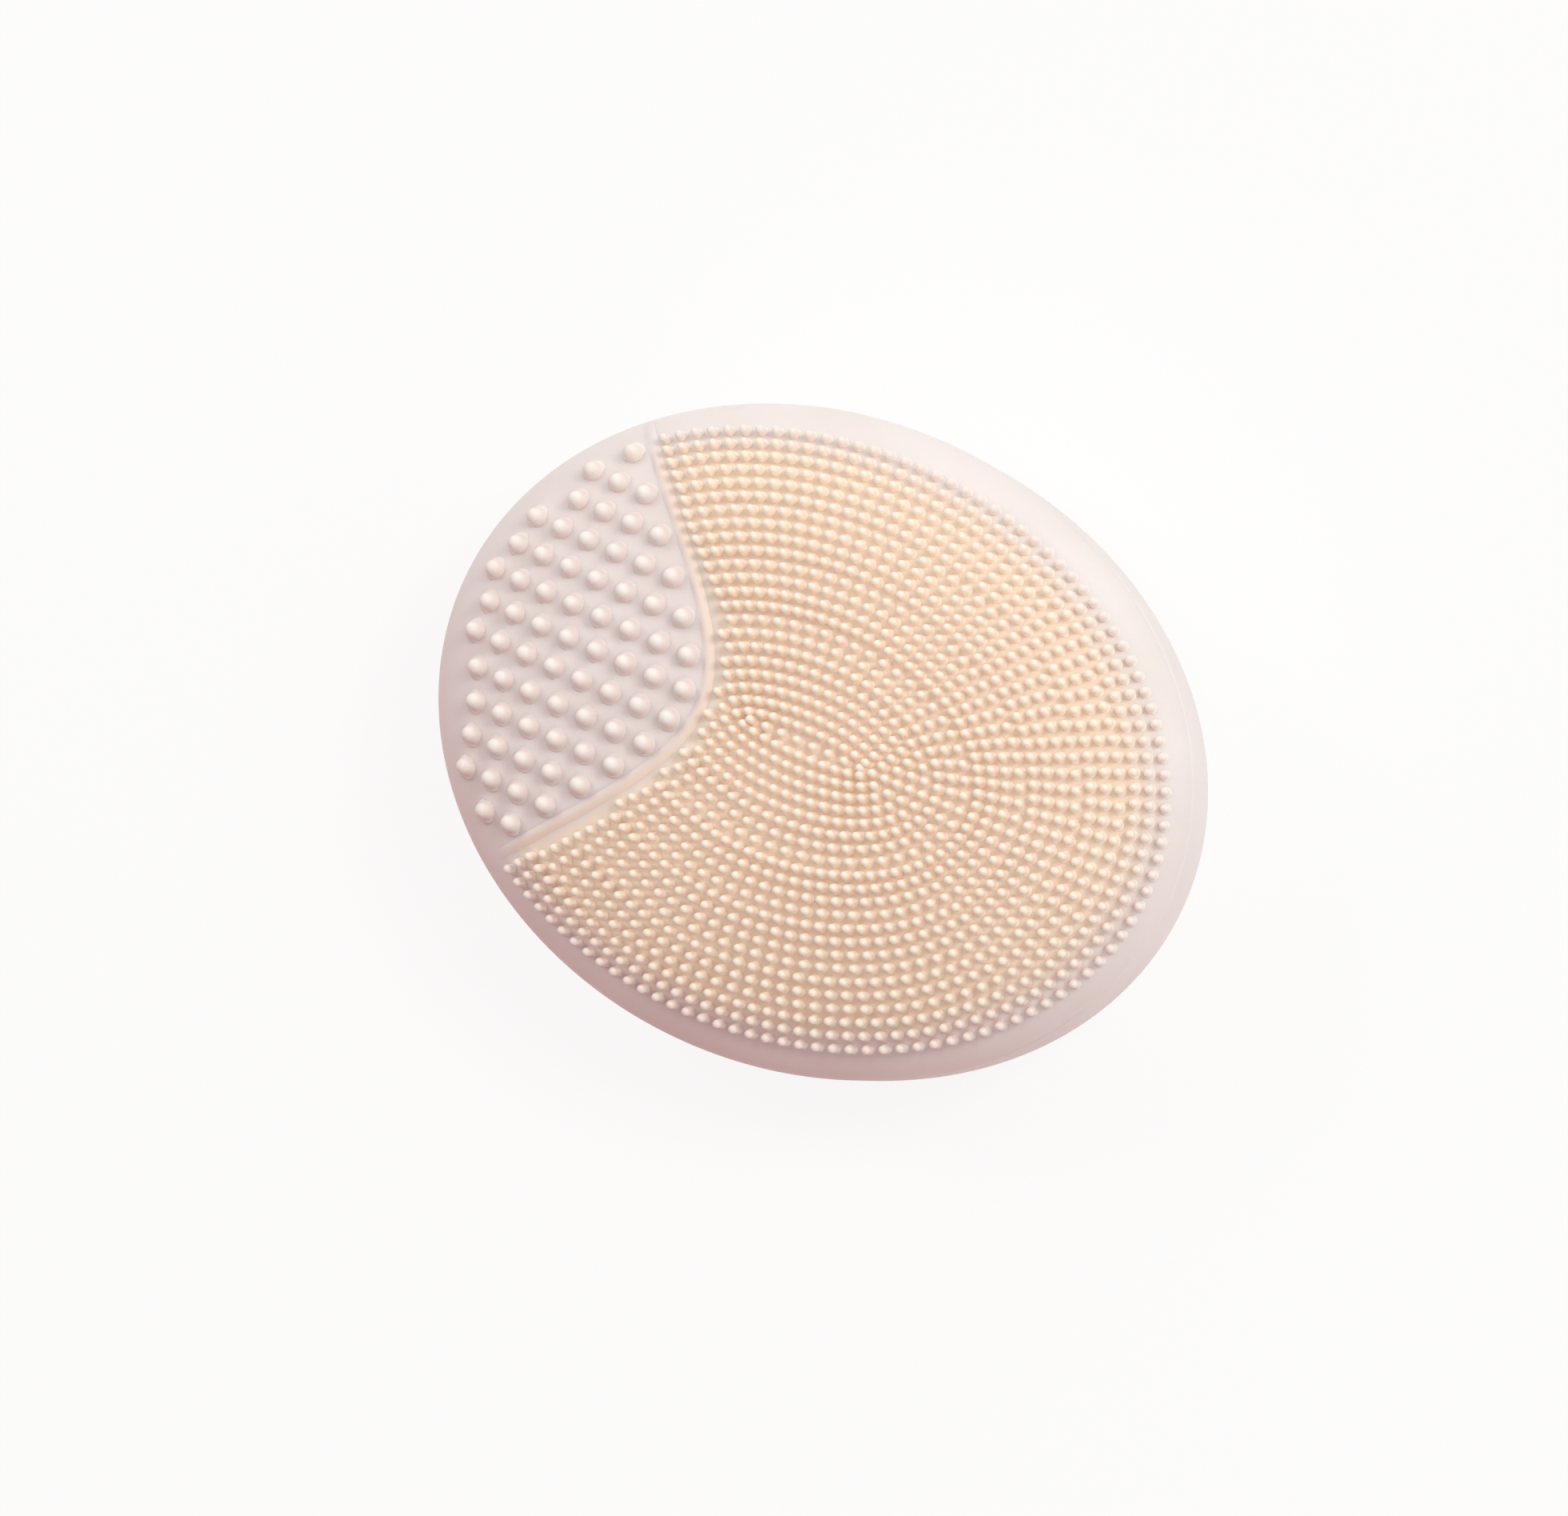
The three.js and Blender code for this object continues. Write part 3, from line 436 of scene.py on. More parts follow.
def thick_places():
    places = []
    for row in range(-THICK_SIDE_ROWS, THICK_SIDE_ROWS + 1):
        y = row * THICK_PITCH_Y
        x = ridge_x(y) - RIDGE_TO_THICK * ridge_stretch(y)
        while reach(x, y, THICK_EDGE_GAP) < 1:
            places.append((x, y))
            x -= THICK_PITCH_X
    return places


def bristle_profile(radius, tip_radius, height):
    """(radius, height) pairs from the root to the tip: a flared foot, a tapered stem and a round end."""
    foot = radius * FOOT_SHARE
    profile = [(0, -ROOT_DEPTH), (radius + foot, -ROOT_DEPTH)]
    for turn in sample(FOOT_STEPS, 0, math.pi / 2):
        profile.append((radius + foot * (1 - math.sin(turn)), foot * (1 - math.cos(turn))))
    shoulder = height - tip_radius
    profile.append(((radius + tip_radius) / 2, (foot + shoulder) / 2))
    for turn in sample(TIP_STEPS, 0, math.pi / 2)[:-1]:
        profile.append((tip_radius * math.cos(turn), shoulder + tip_radius * math.sin(turn)))
    profile.append((0, height))
    return profile


def bristles(name, places, radius, tip_radius, height, sides):
    """All the bristles of one field as one mesh, nearly upright."""
    profile = bristle_profile(radius, tip_radius, height)
    stem, stem_faces = lathe(profile, sides, (0, 0))
    stem = np.array(stem)
    share = np.clip(stem[:, 2] / height, 0, 1)
    points = []
    faces = []
    up = Vector((0, 0, 1))
    for number, (x, y) in enumerate(places):
        spot, normal = face_point(x, y)
        along = up.lerp(normal, BRISTLE_LEAN)
        tilt = np.array(up.rotation_difference(along).to_matrix())
        points.append(stem @ tilt.T + np.array(spot))
        base = number * len(stem)
        faces += [tuple(base + corner for corner in face) for face in stem_faces]
    piece = mesh_object(name, np.concatenate(points), faces)
    set_values(piece, "tip", np.tile(share, len(places)))
    set_values(piece, "warmth", np.repeat([warm_share(x, y) for x, y in places], len(stem)))
    return piece


def ridge():
    """The raised line between the fields: a low rounded bead that sinks into the face at both ends."""
    points = []
    faces = []
    across = RIDGE_ACROSS + 1
    for y in sample(RIDGE_STEPS, -RIDGE_HALF_SPAN, RIDGE_HALF_SPAN):
        ahead = Vector((ridge_run(y), 1, 0))
        spot, normal = face_point(ridge_x(y), y)
        side = ahead.cross(normal).normalized()
        fade = smooth_step(RIDGE_HALF_SPAN - abs(y), *RIDGE_FADE)
        for share in sample(RIDGE_ACROSS, -1, 1):
            bump = math.cos(share * math.pi / 2) ** 2 * RIDGE_HEIGHT * fade
            sink = -RIDGE_SINK * abs(share) ** RIDGE_SINK_POWER
            points.append(spot + side * share * RIDGE_HALF_WIDTH + normal * (bump + sink))
    for row in range(RIDGE_STEPS):
        for column in range(RIDGE_ACROSS):
            corner = row * across + column
            faces.append((corner, corner + 1, corner + across + 1, corner + across))
        low, high = row * across, (row + 1) * across
        faces.append((low, high, high + RIDGE_ACROSS, low + RIDGE_ACROSS))
    last = RIDGE_STEPS * across
    faces.append(tuple(reversed(range(across))))
    faces.append(tuple(range(last, last + across)))
    piece = mesh_object("ridge_bead", points, faces, EDGE_SHARP)
    warmth = [warm_share(x, y) * smooth_step(ridge_gap(x, y), *BEAD_BLEND) for x, y, z in points]
    set_values(piece, "warmth", warmth)
    return piece


# Buttons
def button_profile(low_z, high_z, radius, edge):
    """A shallow dished cap with a rounded rim and straight sides."""
    profile = [(0, low_z + DISH_DEPTH)]
    for share in sample(DISH_STEPS, *DISH_SHARES):
        profile.append((radius * share, low_z + DISH_DEPTH * (1 - share**2)))
    for turn in sample(LIP_STEPS, 0, math.pi / 2):
        inset = edge * (1 - math.sin(turn))
        profile.append((radius - inset, low_z + edge * (1 - math.cos(turn))))
    profile.append((radius, high_z))
    profile.append((0, high_z))
    return profile


def button(node, mark):
    """A silicone button cap with its post, and a raised mark in its dish."""
    low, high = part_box(node)
    centre = plan_centre(low, high)
    radius = (high.y - low.y) / 2
    cap_top = low.z + SKIN_WALL - 2 * BUTTON_EDGE
    points, faces = lathe(button_profile(low.z, cap_top, radius, BUTTON_EDGE), HOLE_SIDES, centre)
    foot = cap_top - POST_OVERLAP
    post = [(0, foot), (POST_RADIUS, foot), (POST_RADIUS, high.z), (0, high.z)]
    add_part(points, faces, *lathe(post, HOLE_SIDES // 2, centre))
    plain_faces = len(faces)
    for bar in mark:
        add_part(points, faces, *bar(centre, low.z))
    piece = mesh_object(node + "_cap", points, faces, EDGE_SHARP)
    set_values(piece, "warmth", [0.0] * len(points))
    dress(piece, SKIN)
    piece.data.materials.append(MARK)
    for face in piece.data.polygons[plain_faces:]:
        face.material_index = 1
    return piece


def pin(node):
    """A charging pin or the light guide: a turned rod with a softened edge and a shallow dish."""
    low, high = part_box(node)
    centre = plan_centre(low, high)
    profile = button_profile(low.z, high.z, (high.y - low.y) / 2, PIN_EDGE)
    points, faces = lathe(profile, HOLE_SIDES, centre)
    return mesh_object(node + "_smooth", points, faces, EDGE_SHARP)


def add_part(points, faces, more_points, more_faces):
    base = len(points)
    points += more_points
    faces += [tuple(base + corner for corner in face) for face in more_faces]


def bar_mark(half_length, half_width, shift=0.0):
    """A maker of a raised bar along Y with round ends, moved along Y from the button's middle."""
    def build(centre, low_z):
        outline = []
        for end in (1, -1):
            middle = shift + end * (half_length - half_width)
            for turn in sample(MARK_END_STEPS, 0, math.pi):
                x = end * half_width * math.cos(turn)
                y = middle + end * half_width * math.sin(turn)
                outline.append((centre[0] + x, centre[1] + y))
        return prism(outline, low_z - MARK_PROUD, low_z + MARK_ROOT)
    return build


def cross_mark(half_length, half_width):
    """A maker of a raised plus with four rounded arms."""
    def build(centre, low_z):
        arm = []
        for turn in sample(MARK_END_STEPS, -math.pi / 2, math.pi / 2):
            x = half_length - half_width + half_width * math.cos(turn)
            arm.append((x, half_width * math.sin(turn)))
        arm.append((half_width, half_width))
        outline = []
        for quarter in range(4):
            cos = math.cos(quarter * math.pi / 2)
            sin = math.sin(quarter * math.pi / 2)
            outline += [(centre[0] + x * cos - y * sin, centre[1] + x * sin + y * cos) for x, y in arm]
        return prism(outline, low_z - MARK_PROUD, low_z + MARK_ROOT)
    return build


def arc_mark(radius, width, gap):
    """A maker of a raised open ring on a button's face."""
    def build(centre, low_z):
        turns = sample(POWER_RING_STEPS, math.pi / 2 + gap, 5 * math.pi / 2 - gap)
        outer = [(radius + width / 2, turn) for turn in turns]
        inner = [(radius - width / 2, turn) for turn in reversed(turns)]
        outline = []
        for size, turn in outer + inner:
            outline.append((centre[0] + size * math.cos(turn), centre[1] + size * math.sin(turn)))
        return prism(outline, low_z - MARK_PROUD, low_z + MARK_ROOT)
    return build


def prism(outline, z0, z1):
    count = len(outline)
    points = [(x, y, z0) for x, y in outline] + [(x, y, z1) for x, y in outline]
    faces = [tuple(reversed(range(count))), tuple(range(count, 2 * count))]
    for corner in range(count):
        after = (corner + 1) % count
        faces.append((corner, after, count + after, count + corner))
    return points, faces


# Materials
def srgb(red, green, blue):
    """A shader colour from 0-255 display values."""
    def linear(value):
        value /= 255
        return value / 12.92 if value <= 0.04045 else ((value + 0.055) / 1.055) ** 2.4
    return (linear(red), linear(green), linear(blue), 1.0)


class Shader:
    """A material with one Principled BSDF and short ways to add nodes to it."""

    def __init__(self, name, roughness, metallic=0.0):
        self.material = bpy.data.materials.new(name)
        self.material.use_nodes = True
        self.tree = self.material.node_tree
        self.surface = self.tree.nodes["Principled BSDF"]
        self.set("Roughness", roughness)
        self.set("Metallic", metallic)
        self.place = self.node("ShaderNodeTexCoord").outputs["Object"]

    def node(self, kind, **settings):
        made = self.tree.nodes.new(kind)
        for key, value in settings.items():
            setattr(made, key, value)
        return made

    def set(self, socket, value):
        self.surface.inputs[socket].default_value = value

    def link(self, source, target):
        self.tree.links.new(source, target)

    def noise(self, size, detail=3.0):
        """Noise with features of about the given size."""
        made = self.node("ShaderNodeTexNoise")
        made.inputs["Scale"].default_value = 1 / size
        made.inputs["Detail"].default_value = detail
        self.link(self.place, made.inputs["Vector"])
        return made.outputs["Fac"]

    def attribute(self, name):
        return self.node("ShaderNodeAttribute", attribute_name=name).outputs["Fac"]

    def blend(self, share, first, second):
        """A colour between two colours, or sockets that carry one."""
        made = self.node("ShaderNodeMix", data_type="RGBA")
        self.link(share, made.inputs["Factor"])
        for socket, value in ((made.inputs["A"], first), (made.inputs["B"], second)):
            if isinstance(value, tuple):
                socket.default_value = value
            else:
                self.link(value, socket)
        return made.outputs["Result"]

    def span(self, value, low, high, from_low=0.0, from_high=1.0):
        """A value mapped from one range to another."""
        made = self.node("ShaderNodeMapRange")
        made.inputs["From Min"].default_value = from_low
        made.inputs["From Max"].default_value = from_high
        made.inputs["To Min"].default_value = low
        made.inputs["To Max"].default_value = high
        self.link(value, made.inputs["Value"])
        return made.outputs["Result"]

    def colour(self, source):
        self.link(source, self.surface.inputs["Base Color"])

    def roughness(self, source):
        self.link(source, self.surface.inputs["Roughness"])

    def bump(self, height, depth):
        made = self.node("ShaderNodeBump")
        made.inputs["Distance"].default_value = depth
        made.inputs["Strength"].default_value = 1.0
        self.link(height, made.inputs["Height"])
        self.link(made.outputs["Normal"], self.surface.inputs["Normal"])


# Silicone: light that passes under its surface, its gloss, sheen and grain
SCATTER_RADIUS = (1.0, 0.75, 0.6)
SKIN_SCATTER = 1.6 * MM
SKIN_SCATTER_SHARE = 0.35
BRISTLE_SCATTER = 0.6 * MM
BRISTLE_SCATTER_SHARE = 0.25
SILICONE_IOR = 1.41
SILICONE_GLOSS = 0.15
SILICONE_SHEEN = 0.15
SHEEN_ROUGHNESS = 0.5
SATIN_ROUGHNESS = (0.54, 0.68)
SATIN_SIZE = 3 * MM
GRAIN_SIZE = 0.25 * MM
GRAIN_DEPTH = 0.012 * MM


def silicone(name, depth, weight):
    """Soft translucent silicone with a fine satin grain."""
    shader = Shader(name, SATIN_ROUGHNESS[0])
    shader.set("Subsurface Weight", weight)
    shader.set("Subsurface Radius", SCATTER_RADIUS)
    shader.set("Subsurface Scale", depth)
    shader.set("IOR", SILICONE_IOR)
    shader.set("Specular IOR Level", SILICONE_GLOSS)
    shader.set("Sheen Weight", SILICONE_SHEEN)
    shader.set("Sheen Roughness", SHEEN_ROUGHNESS)
    grain = shader.noise(GRAIN_SIZE)
    shader.roughness(shader.span(shader.noise(SATIN_SIZE), *SATIN_ROUGHNESS))
    shader.bump(grain, GRAIN_DEPTH)
    return shader


# Tones of the silicone, and how they mix
SKIN_PALE = srgb(240, 231, 228)
SKIN_BLUSH = srgb(237, 227, 223)
SKIN_WARM = srgb(248, 230, 212)
MARK_TONE = srgb(204, 160, 152)
MARK_DEEP = srgb(192, 146, 139)
# Fine bristles: the root tone, a touch paler and less warm than the tip tone, is painted light that
# lifts the shade between the bristles
FINE_LIFTED_ROOT = srgb(253, 242, 230)
FINE_TIP = srgb(253, 240, 222)
EDGE_TIP = srgb(246, 235, 228)
# Thick bristles: the darker root tone is painted shade between the bristles, and the paler tip tone is
# painted light on their tops
THICK_SHADED_ROOT = srgb(240, 227, 222)
THICK_LIT_TIP = srgb(250, 243, 237)
CLOUD_SIZE = 9 * MM
CLOUD_RANGE = (0.35, 0.65)
MARK_CLOUD_SIZE = 1.5 * MM
# Share of a bristle's height over which the painted root-to-tip light and shade runs
TIP_RANGE = (0.2, 0.95)
MOTTLE_SIZE = 2.2 * MM
MOTTLE_RANGE = (0.4, 0.7)
MOTTLE_SHARE = 0.25


def skin_material(name, weight):
    """The skin's pale clouded tone, warmer under the fine bristles. The weight is its share of
    light that passes under the surface."""
    shader = silicone(name, SKIN_SCATTER, weight)
    cloud = shader.span(shader.noise(CLOUD_SIZE), 0.0, 1.0, *CLOUD_RANGE)
    plain = shader.blend(cloud, SKIN_PALE, SKIN_BLUSH)
    shader.colour(shader.blend(shader.attribute("warmth"), plain, SKIN_WARM))
    return shader.material


def mark_material():
    """The deeper tone of the raised marks on the buttons."""
    shader = silicone("mark_silicone", BRISTLE_SCATTER, BRISTLE_SCATTER_SHARE)
    shader.colour(shader.blend(shader.noise(MARK_CLOUD_SIZE), MARK_TONE, MARK_DEEP))
    return shader.material


def bristle_material(name, root, tip):
    """Bristles of a field: pale at its edge, and in its middle from the root's tone to the tip's, which
    paints light and shade along each bristle.
    """
    shader = silicone(name, BRISTLE_SCATTER, BRISTLE_SCATTER_SHARE)
    # Painted light and shade: the tone runs from the root's to the tip's along each bristle's height
    share = shader.span(shader.attribute("tip"), 0.0, 1.0, *TIP_RANGE)
    painted_light_and_shade = shader.blend(share, root, tip)
    mottle = shader.span(shader.noise(MOTTLE_SIZE), 0.0, MOTTLE_SHARE, *MOTTLE_RANGE)
    mottled = shader.blend(mottle, painted_light_and_shade, root)
    shader.colour(shader.blend(shader.attribute("warmth"), EDGE_TIP, mottled))
    return shader.material


# Moulded plastics and rubber: size of their patches of tone and of gloss
MOULDED_TONE_SIZE = 4 * MM
MOULDED_GLOSS_SIZE = 1.5 * MM
MOULDED_SPREAD = 0.06


def moulded(name, colour, dark, roughness, grain_size, grain_depth):
    """Moulded plastic or rubber: two close tones and a fine grain."""
    shader = Shader(name, roughness)
    shader.colour(shader.blend(shader.noise(MOULDED_TONE_SIZE), colour, dark))
    gloss = shader.noise(MOULDED_GLOSS_SIZE)
    shader.roughness(shader.span(gloss, roughness - MOULDED_SPREAD, roughness + MOULDED_SPREAD))
    shader.bump(shader.noise(grain_size), grain_depth)
    return shader.material


# Metals: size of their patches of tone and of gloss, and their grain
METAL_TONE_SIZE = 1.2 * MM
METAL_GLOSS_SIZE = 0.6 * MM
METAL_SHINIER = 0.06
METAL_DULLER = 0.08
METAL_GRAIN_SIZE = 0.15 * MM
METAL_GRAIN_DEPTH = 0.004 * MM


def metal(name, colour, dark, roughness):
    """Drawn or plated metal, with faint patches of duller tone."""
    shader = Shader(name, roughness, 1.0)
    shader.colour(shader.blend(shader.noise(METAL_TONE_SIZE), colour, dark))
    gloss = shader.noise(METAL_GLOSS_SIZE)
    shader.roughness(shader.span(gloss, roughness - METAL_SHINIER, roughness + METAL_DULLER))
    shader.bump(shader.noise(METAL_GRAIN_SIZE), METAL_GRAIN_DEPTH)
    return shader.material


# Milky clear plastic
MILKY_LIGHT = srgb(244, 244, 238)
MILKY_DARK = srgb(228, 230, 226)
MILKY_TONE_SIZE = 1.0 * MM
MILKY_GLOSS_SIZE = 0.5 * MM
MILKY_ROUGHNESS = (0.18, 0.32)
MILKY_CLEARNESS = 0.15
MILKY_IOR = 1.49


def clear_plastic():
    """Milky clear plastic of the light guide, the light and the switch plungers."""
    shader = Shader("milky_plastic", MILKY_ROUGHNESS[0])
    shader.set("Transmission Weight", MILKY_CLEARNESS)
    shader.set("IOR", MILKY_IOR)
    shader.colour(shader.blend(shader.noise(MILKY_TONE_SIZE), MILKY_LIGHT, MILKY_DARK))
    shader.roughness(shader.span(shader.noise(MILKY_GLOSS_SIZE), *MILKY_ROUGHNESS))
    return shader.material


# Laminate of the board
BOARD_LIGHT = srgb(38, 104, 70)
BOARD_DARK = srgb(28, 84, 56)
BOARD_TONE_SIZE = 2 * MM
BOARD_ROUGHNESS = 0.35
WEAVE_SIZE = 0.5 * MM
WEAVE_DEPTH = 0.01 * MM
LACQUER_WEIGHT = 0.4


def board_material():
    """Green laminate with a woven glass texture under its lacquer."""
    shader = Shader("board_laminate", BOARD_ROUGHNESS)
    weave = shader.node("ShaderNodeTexChecker")
    weave.inputs["Scale"].default_value = 1 / WEAVE_SIZE
    shader.link(shader.place, weave.inputs["Vector"])
    shader.colour(shader.blend(shader.noise(BOARD_TONE_SIZE), BOARD_LIGHT, BOARD_DARK))
    shader.bump(weave.outputs["Fac"], WEAVE_DEPTH)
    shader.set("Coat Weight", LACQUER_WEIGHT)
    return shader.material


# Two tones, roughness, grain size and grain depth of each moulded material
MOULDED = {
    "shell_plastic": (srgb(236, 230, 221), srgb(226, 219, 210), 0.45, 0.2 * MM, 0.01 * MM),
    "seal_rubber": (srgb(78, 73, 75), srgb(62, 58, 60), 0.7, 0.3 * MM, 0.02 * MM),
    "black_plastic": (srgb(38, 38, 41), srgb(28, 28, 31), 0.45, 0.2 * MM, 0.01 * MM),
    "cell_wrap": (srgb(166, 183, 199), srgb(148, 166, 184), 0.35, 0.8 * MM, 0.015 * MM),
    "foam": (srgb(146, 146, 150), srgb(118, 118, 122), 0.9, 0.35 * MM, 0.08 * MM),
    "red_insulation": (srgb(184, 44, 48), srgb(160, 34, 38), 0.5, 0.3 * MM, 0.01 * MM),
    "black_insulation": (srgb(36, 36, 40), srgb(26, 26, 29), 0.5, 0.3 * MM, 0.01 * MM),
}
# Two tones and roughness of each metal
METALS = {
    "steel": (srgb(196, 198, 202), srgb(168, 170, 175), 0.3),
    "brass": (srgb(226, 192, 116), srgb(200, 162, 84), 0.25),
}
MATERIALS = {"board_laminate": board_material(), "clear_plastic": clear_plastic()}
for name, look in MOULDED.items():
    MATERIALS[name] = moulded(name, *look)
for name, look in METALS.items():
    MATERIALS[name] = metal(name, *look)

# Material slot of each CAD node that stays in view, by its whole name or by how the name starts or ends
NODE_SLOTS = {
    "front_shell": "shell_plastic",
    "rear_shell": "shell_plastic",
    "motor_bracket": "shell_plastic",
    "shell_seal": "seal_rubber",
    "motor_boot": "seal_rubber",
    "main_board": "board_laminate",
    "controller_chip": "black_plastic",
    "pin_holder": "black_plastic",
    "motor_cap": "black_plastic",
    "battery_cell": "cell_wrap",
    "battery_pad": "foam",
    "light_guide": "clear_plastic",
    "status_led": "clear_plastic",
    "motor_can": "steel",
    "motor_shaft": "steel",
    "eccentric_weight": "brass",
}
NAME_ENDS = {
    "_switch": "black_plastic",
    "_plunger": "clear_plastic",
    "_red": "red_insulation",
    "_black": "black_insulation",
}
NAME_STARTS = {
    "charge_pin": "brass",
    "bracket_screw": "steel",
    "board_screw": "steel",
    "shell_screw": "steel",
}


def slot_of(node):
    """The material slot of a CAD node that stays in view."""
    if node in NODE_SLOTS:
        return NODE_SLOTS[node]
    for start, name in NAME_STARTS.items():
        if node.startswith(start):
            return name
    for end, name in NAME_ENDS.items():
        if node.endswith(end):
            return name
    raise KeyError(node)


def dress(piece, material):
    piece.data.materials.clear()
    piece.data.materials.append(material)


# Put the pieces on the frame
SKIN = skin_material("skin_silicone", SKIN_SCATTER_SHARE)
BEAD = skin_material("ridge_silicone", 0.0)
MARK = mark_material()
replaced = {"front_skin", "rear_skin", *BUTTONS, *PINS}
for node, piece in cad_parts.items():
    if node not in replaced:
        dress(piece, MATERIALS[slot_of(node)])

front = front_skin()
dress(front, SKIN)
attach(front, "housing")
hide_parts("front_skin")

bead = ridge()
dress(bead, BEAD)
fine_size = (FINE_RADIUS, FINE_TIP_RADIUS, FINE_HEIGHT, FINE_SIDES)
fine = bristles("fine_bristles", fine_places(), *fine_size)
dress(fine, bristle_material("fine_silicone", FINE_LIFTED_ROOT, FINE_TIP))
thick_size = (THICK_RADIUS, THICK_TIP_RADIUS, THICK_HEIGHT, THICK_SIDES)
thick = bristles("thick_bristles", thick_places(), *thick_size)
dress(thick, bristle_material("thick_silicone", THICK_SHADED_ROOT, THICK_LIT_TIP))
for piece in (bead, fine, thick):
    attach(piece, "housing")

rear = rear_skin()
dress(rear, SKIN)
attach(rear, "housing")
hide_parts("rear_skin")

MARKS = {
    "power_button": (
        arc_mark(POWER_RING_RADIUS, 2 * MARK_HALF_WIDTH, POWER_RING_GAP),
        bar_mark(POWER_BAR_HALF_LENGTH, MARK_HALF_WIDTH, POWER_BAR_SHIFT),
    ),
    "plus_button": (cross_mark(MARK_HALF_LENGTH, MARK_HALF_WIDTH),),
    "minus_button": (bar_mark(MARK_HALF_LENGTH, MARK_HALF_WIDTH),),
}
for node, mark in MARKS.items():
    cap = button(node, mark)
    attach(cap, node)
    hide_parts(node)

for node in PINS:
    rod = pin(node)
    dress(rod, MATERIALS[slot_of(node)])
    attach(rod, "housing")
    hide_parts(node)


# Camera
def view_axes():
    """Camera right, up and back, in the frame of the brush."""
    back = Vector((
        math.sin(VIEW_TILT) * math.cos(VIEW_TURN),
        math.sin(VIEW_TILT) * math.sin(VIEW_TURN),
        math.cos(VIEW_TILT),
    ))
    level = (Vector((1, 0, 0)) - back * back.x).normalized()
    across = back.cross(level)
    right = level * math.cos(VIEW_ROLL) + across * math.sin(VIEW_ROLL)
    up = across * math.cos(VIEW_ROLL) - level * math.sin(VIEW_ROLL)
    return right, up, back


def add_camera(right, up, back):
    data = bpy.data.cameras.new("camera")
    camera = bpy.data.objects.new("camera", data)
    bpy.context.scene.collection.objects.link(camera)
    data.sensor_width = SENSOR_WIDTH
    data.lens = SENSOR_WIDTH * VIEW_DISTANCE * PIXELS_PER_MM / (IMAGE_WIDTH * MM)
    data.shift_x = (IMAGE_WIDTH / 2 - AIM_PIXEL[0]) / IMAGE_WIDTH
    data.shift_y = (AIM_PIXEL[1] - IMAGE_HEIGHT / 2) / IMAGE_WIDTH
    data.clip_start = CLIP_START
    data.clip_end = CLIP_END
    turn = Matrix((right, up, back)).transposed()
    place = Vector((0, 0, EQUATOR_Z)) + back * VIEW_DISTANCE
    camera.matrix_world = Matrix.Translation(place) @ turn.to_4x4()
    bpy.context.scene.camera = camera


# Light and floor
LAMP_DISTANCE = 0.7
LAMP_SIZE = 0.25
LAMP_COLOUR = (1.0, 0.98, 0.95)
KEY_POWER = 1.4
KEY_SIDE = 0.45
KEY_RISE = 0.35
FILL_POWER = 0.6
FILL_SIDE = 1.5
FILL_RISE = 0.9
WORLD_STRENGTH = 0.86
WORLD_COLOUR = (0.95, 0.96, 0.96, 1.0)
DUSK_COLOUR = (0.22, 0.04, 0.05, 1.0)
DUSK_LIMITS = (0.1, 0.75)
DUSK_TURN = 0.8
GROUND_PALE = (0.95, 0.92, 0.9, 1.0)
GROUND_ROSE = (1.05, 0.56, 0.52, 1.0)
GROUND_LIMITS = (0.0, 0.8)
DOWN = Vector((0, 0, -1))
HORIZON_LIMITS = (-0.05, 0.1)
LIGHT_BOUNCES = 16
FLOOR_SIZE = 3.0
FLOOR_GAP = 0.05 * MM
FLOOR_GLOW = 0.85
FLOOR_PALE = srgb(248, 246, 245)


def add_lamp(name, power, toward):
    """A large soft lamp that stands in the given direction from the brush."""
    data = bpy.data.lights.new(name, "AREA")
    data.shape = "DISK"
    data.size = LAMP_SIZE
    data.energy = power
    data.color = LAMP_COLOUR
    lamp = bpy.data.objects.new(name, data)
    bpy.context.scene.collection.objects.link(lamp)
    lamp.location = Vector((0, 0, EQUATOR_Z)) + toward.normalized() * LAMP_DISTANCE
    lamp.rotation_euler = (-toward).to_track_quat("-Z", "Y").to_euler()


def seen_directly(tree):
    """1 for rays that show the background itself: camera, mirror and glass rays."""
    path = tree.nodes.new("ShaderNodeLightPath")
    most = None
    for name in ("Is Camera Ray", "Is Glossy Ray", "Is Transmission Ray"):
        if most is None:
            most = path.outputs[name]
            continue
        larger = tree.nodes.new("ShaderNodeMath")
        larger.operation = "MAXIMUM"
        tree.links.new(most, larger.inputs[0])
        tree.links.new(path.outputs[name], larger.inputs[1])
        most = larger.outputs[0]
    return most


def fade_along(tree, place, axis, limits, first, second):
    """A colour that goes from the first to the second along an axis, between two limits."""
    along = tree.nodes.new("ShaderNodeVectorMath")
    along.operation = "DOT_PRODUCT"
    along.inputs[1].default_value = axis
    tree.links.new(place, along.inputs[0])
    share = tree.nodes.new("ShaderNodeMapRange")
    share.interpolation_type = "SMOOTHSTEP"
    share.inputs["From Min"].default_value = limits[0]
    share.inputs["From Max"].default_value = limits[1]
    tree.links.new(along.outputs["Value"], share.inputs["Value"])
    mix = tree.nodes.new("ShaderNodeMix")
    mix.data_type = "RGBA"
    tree.links.new(share.outputs["Result"], mix.inputs["Factor"])
    for socket, value in ((mix.inputs["A"], first), (mix.inputs["B"], second)):
        if isinstance(value, tuple):
            socket.default_value = value
        else:
            tree.links.new(value, socket)
    return mix.outputs["Result"]


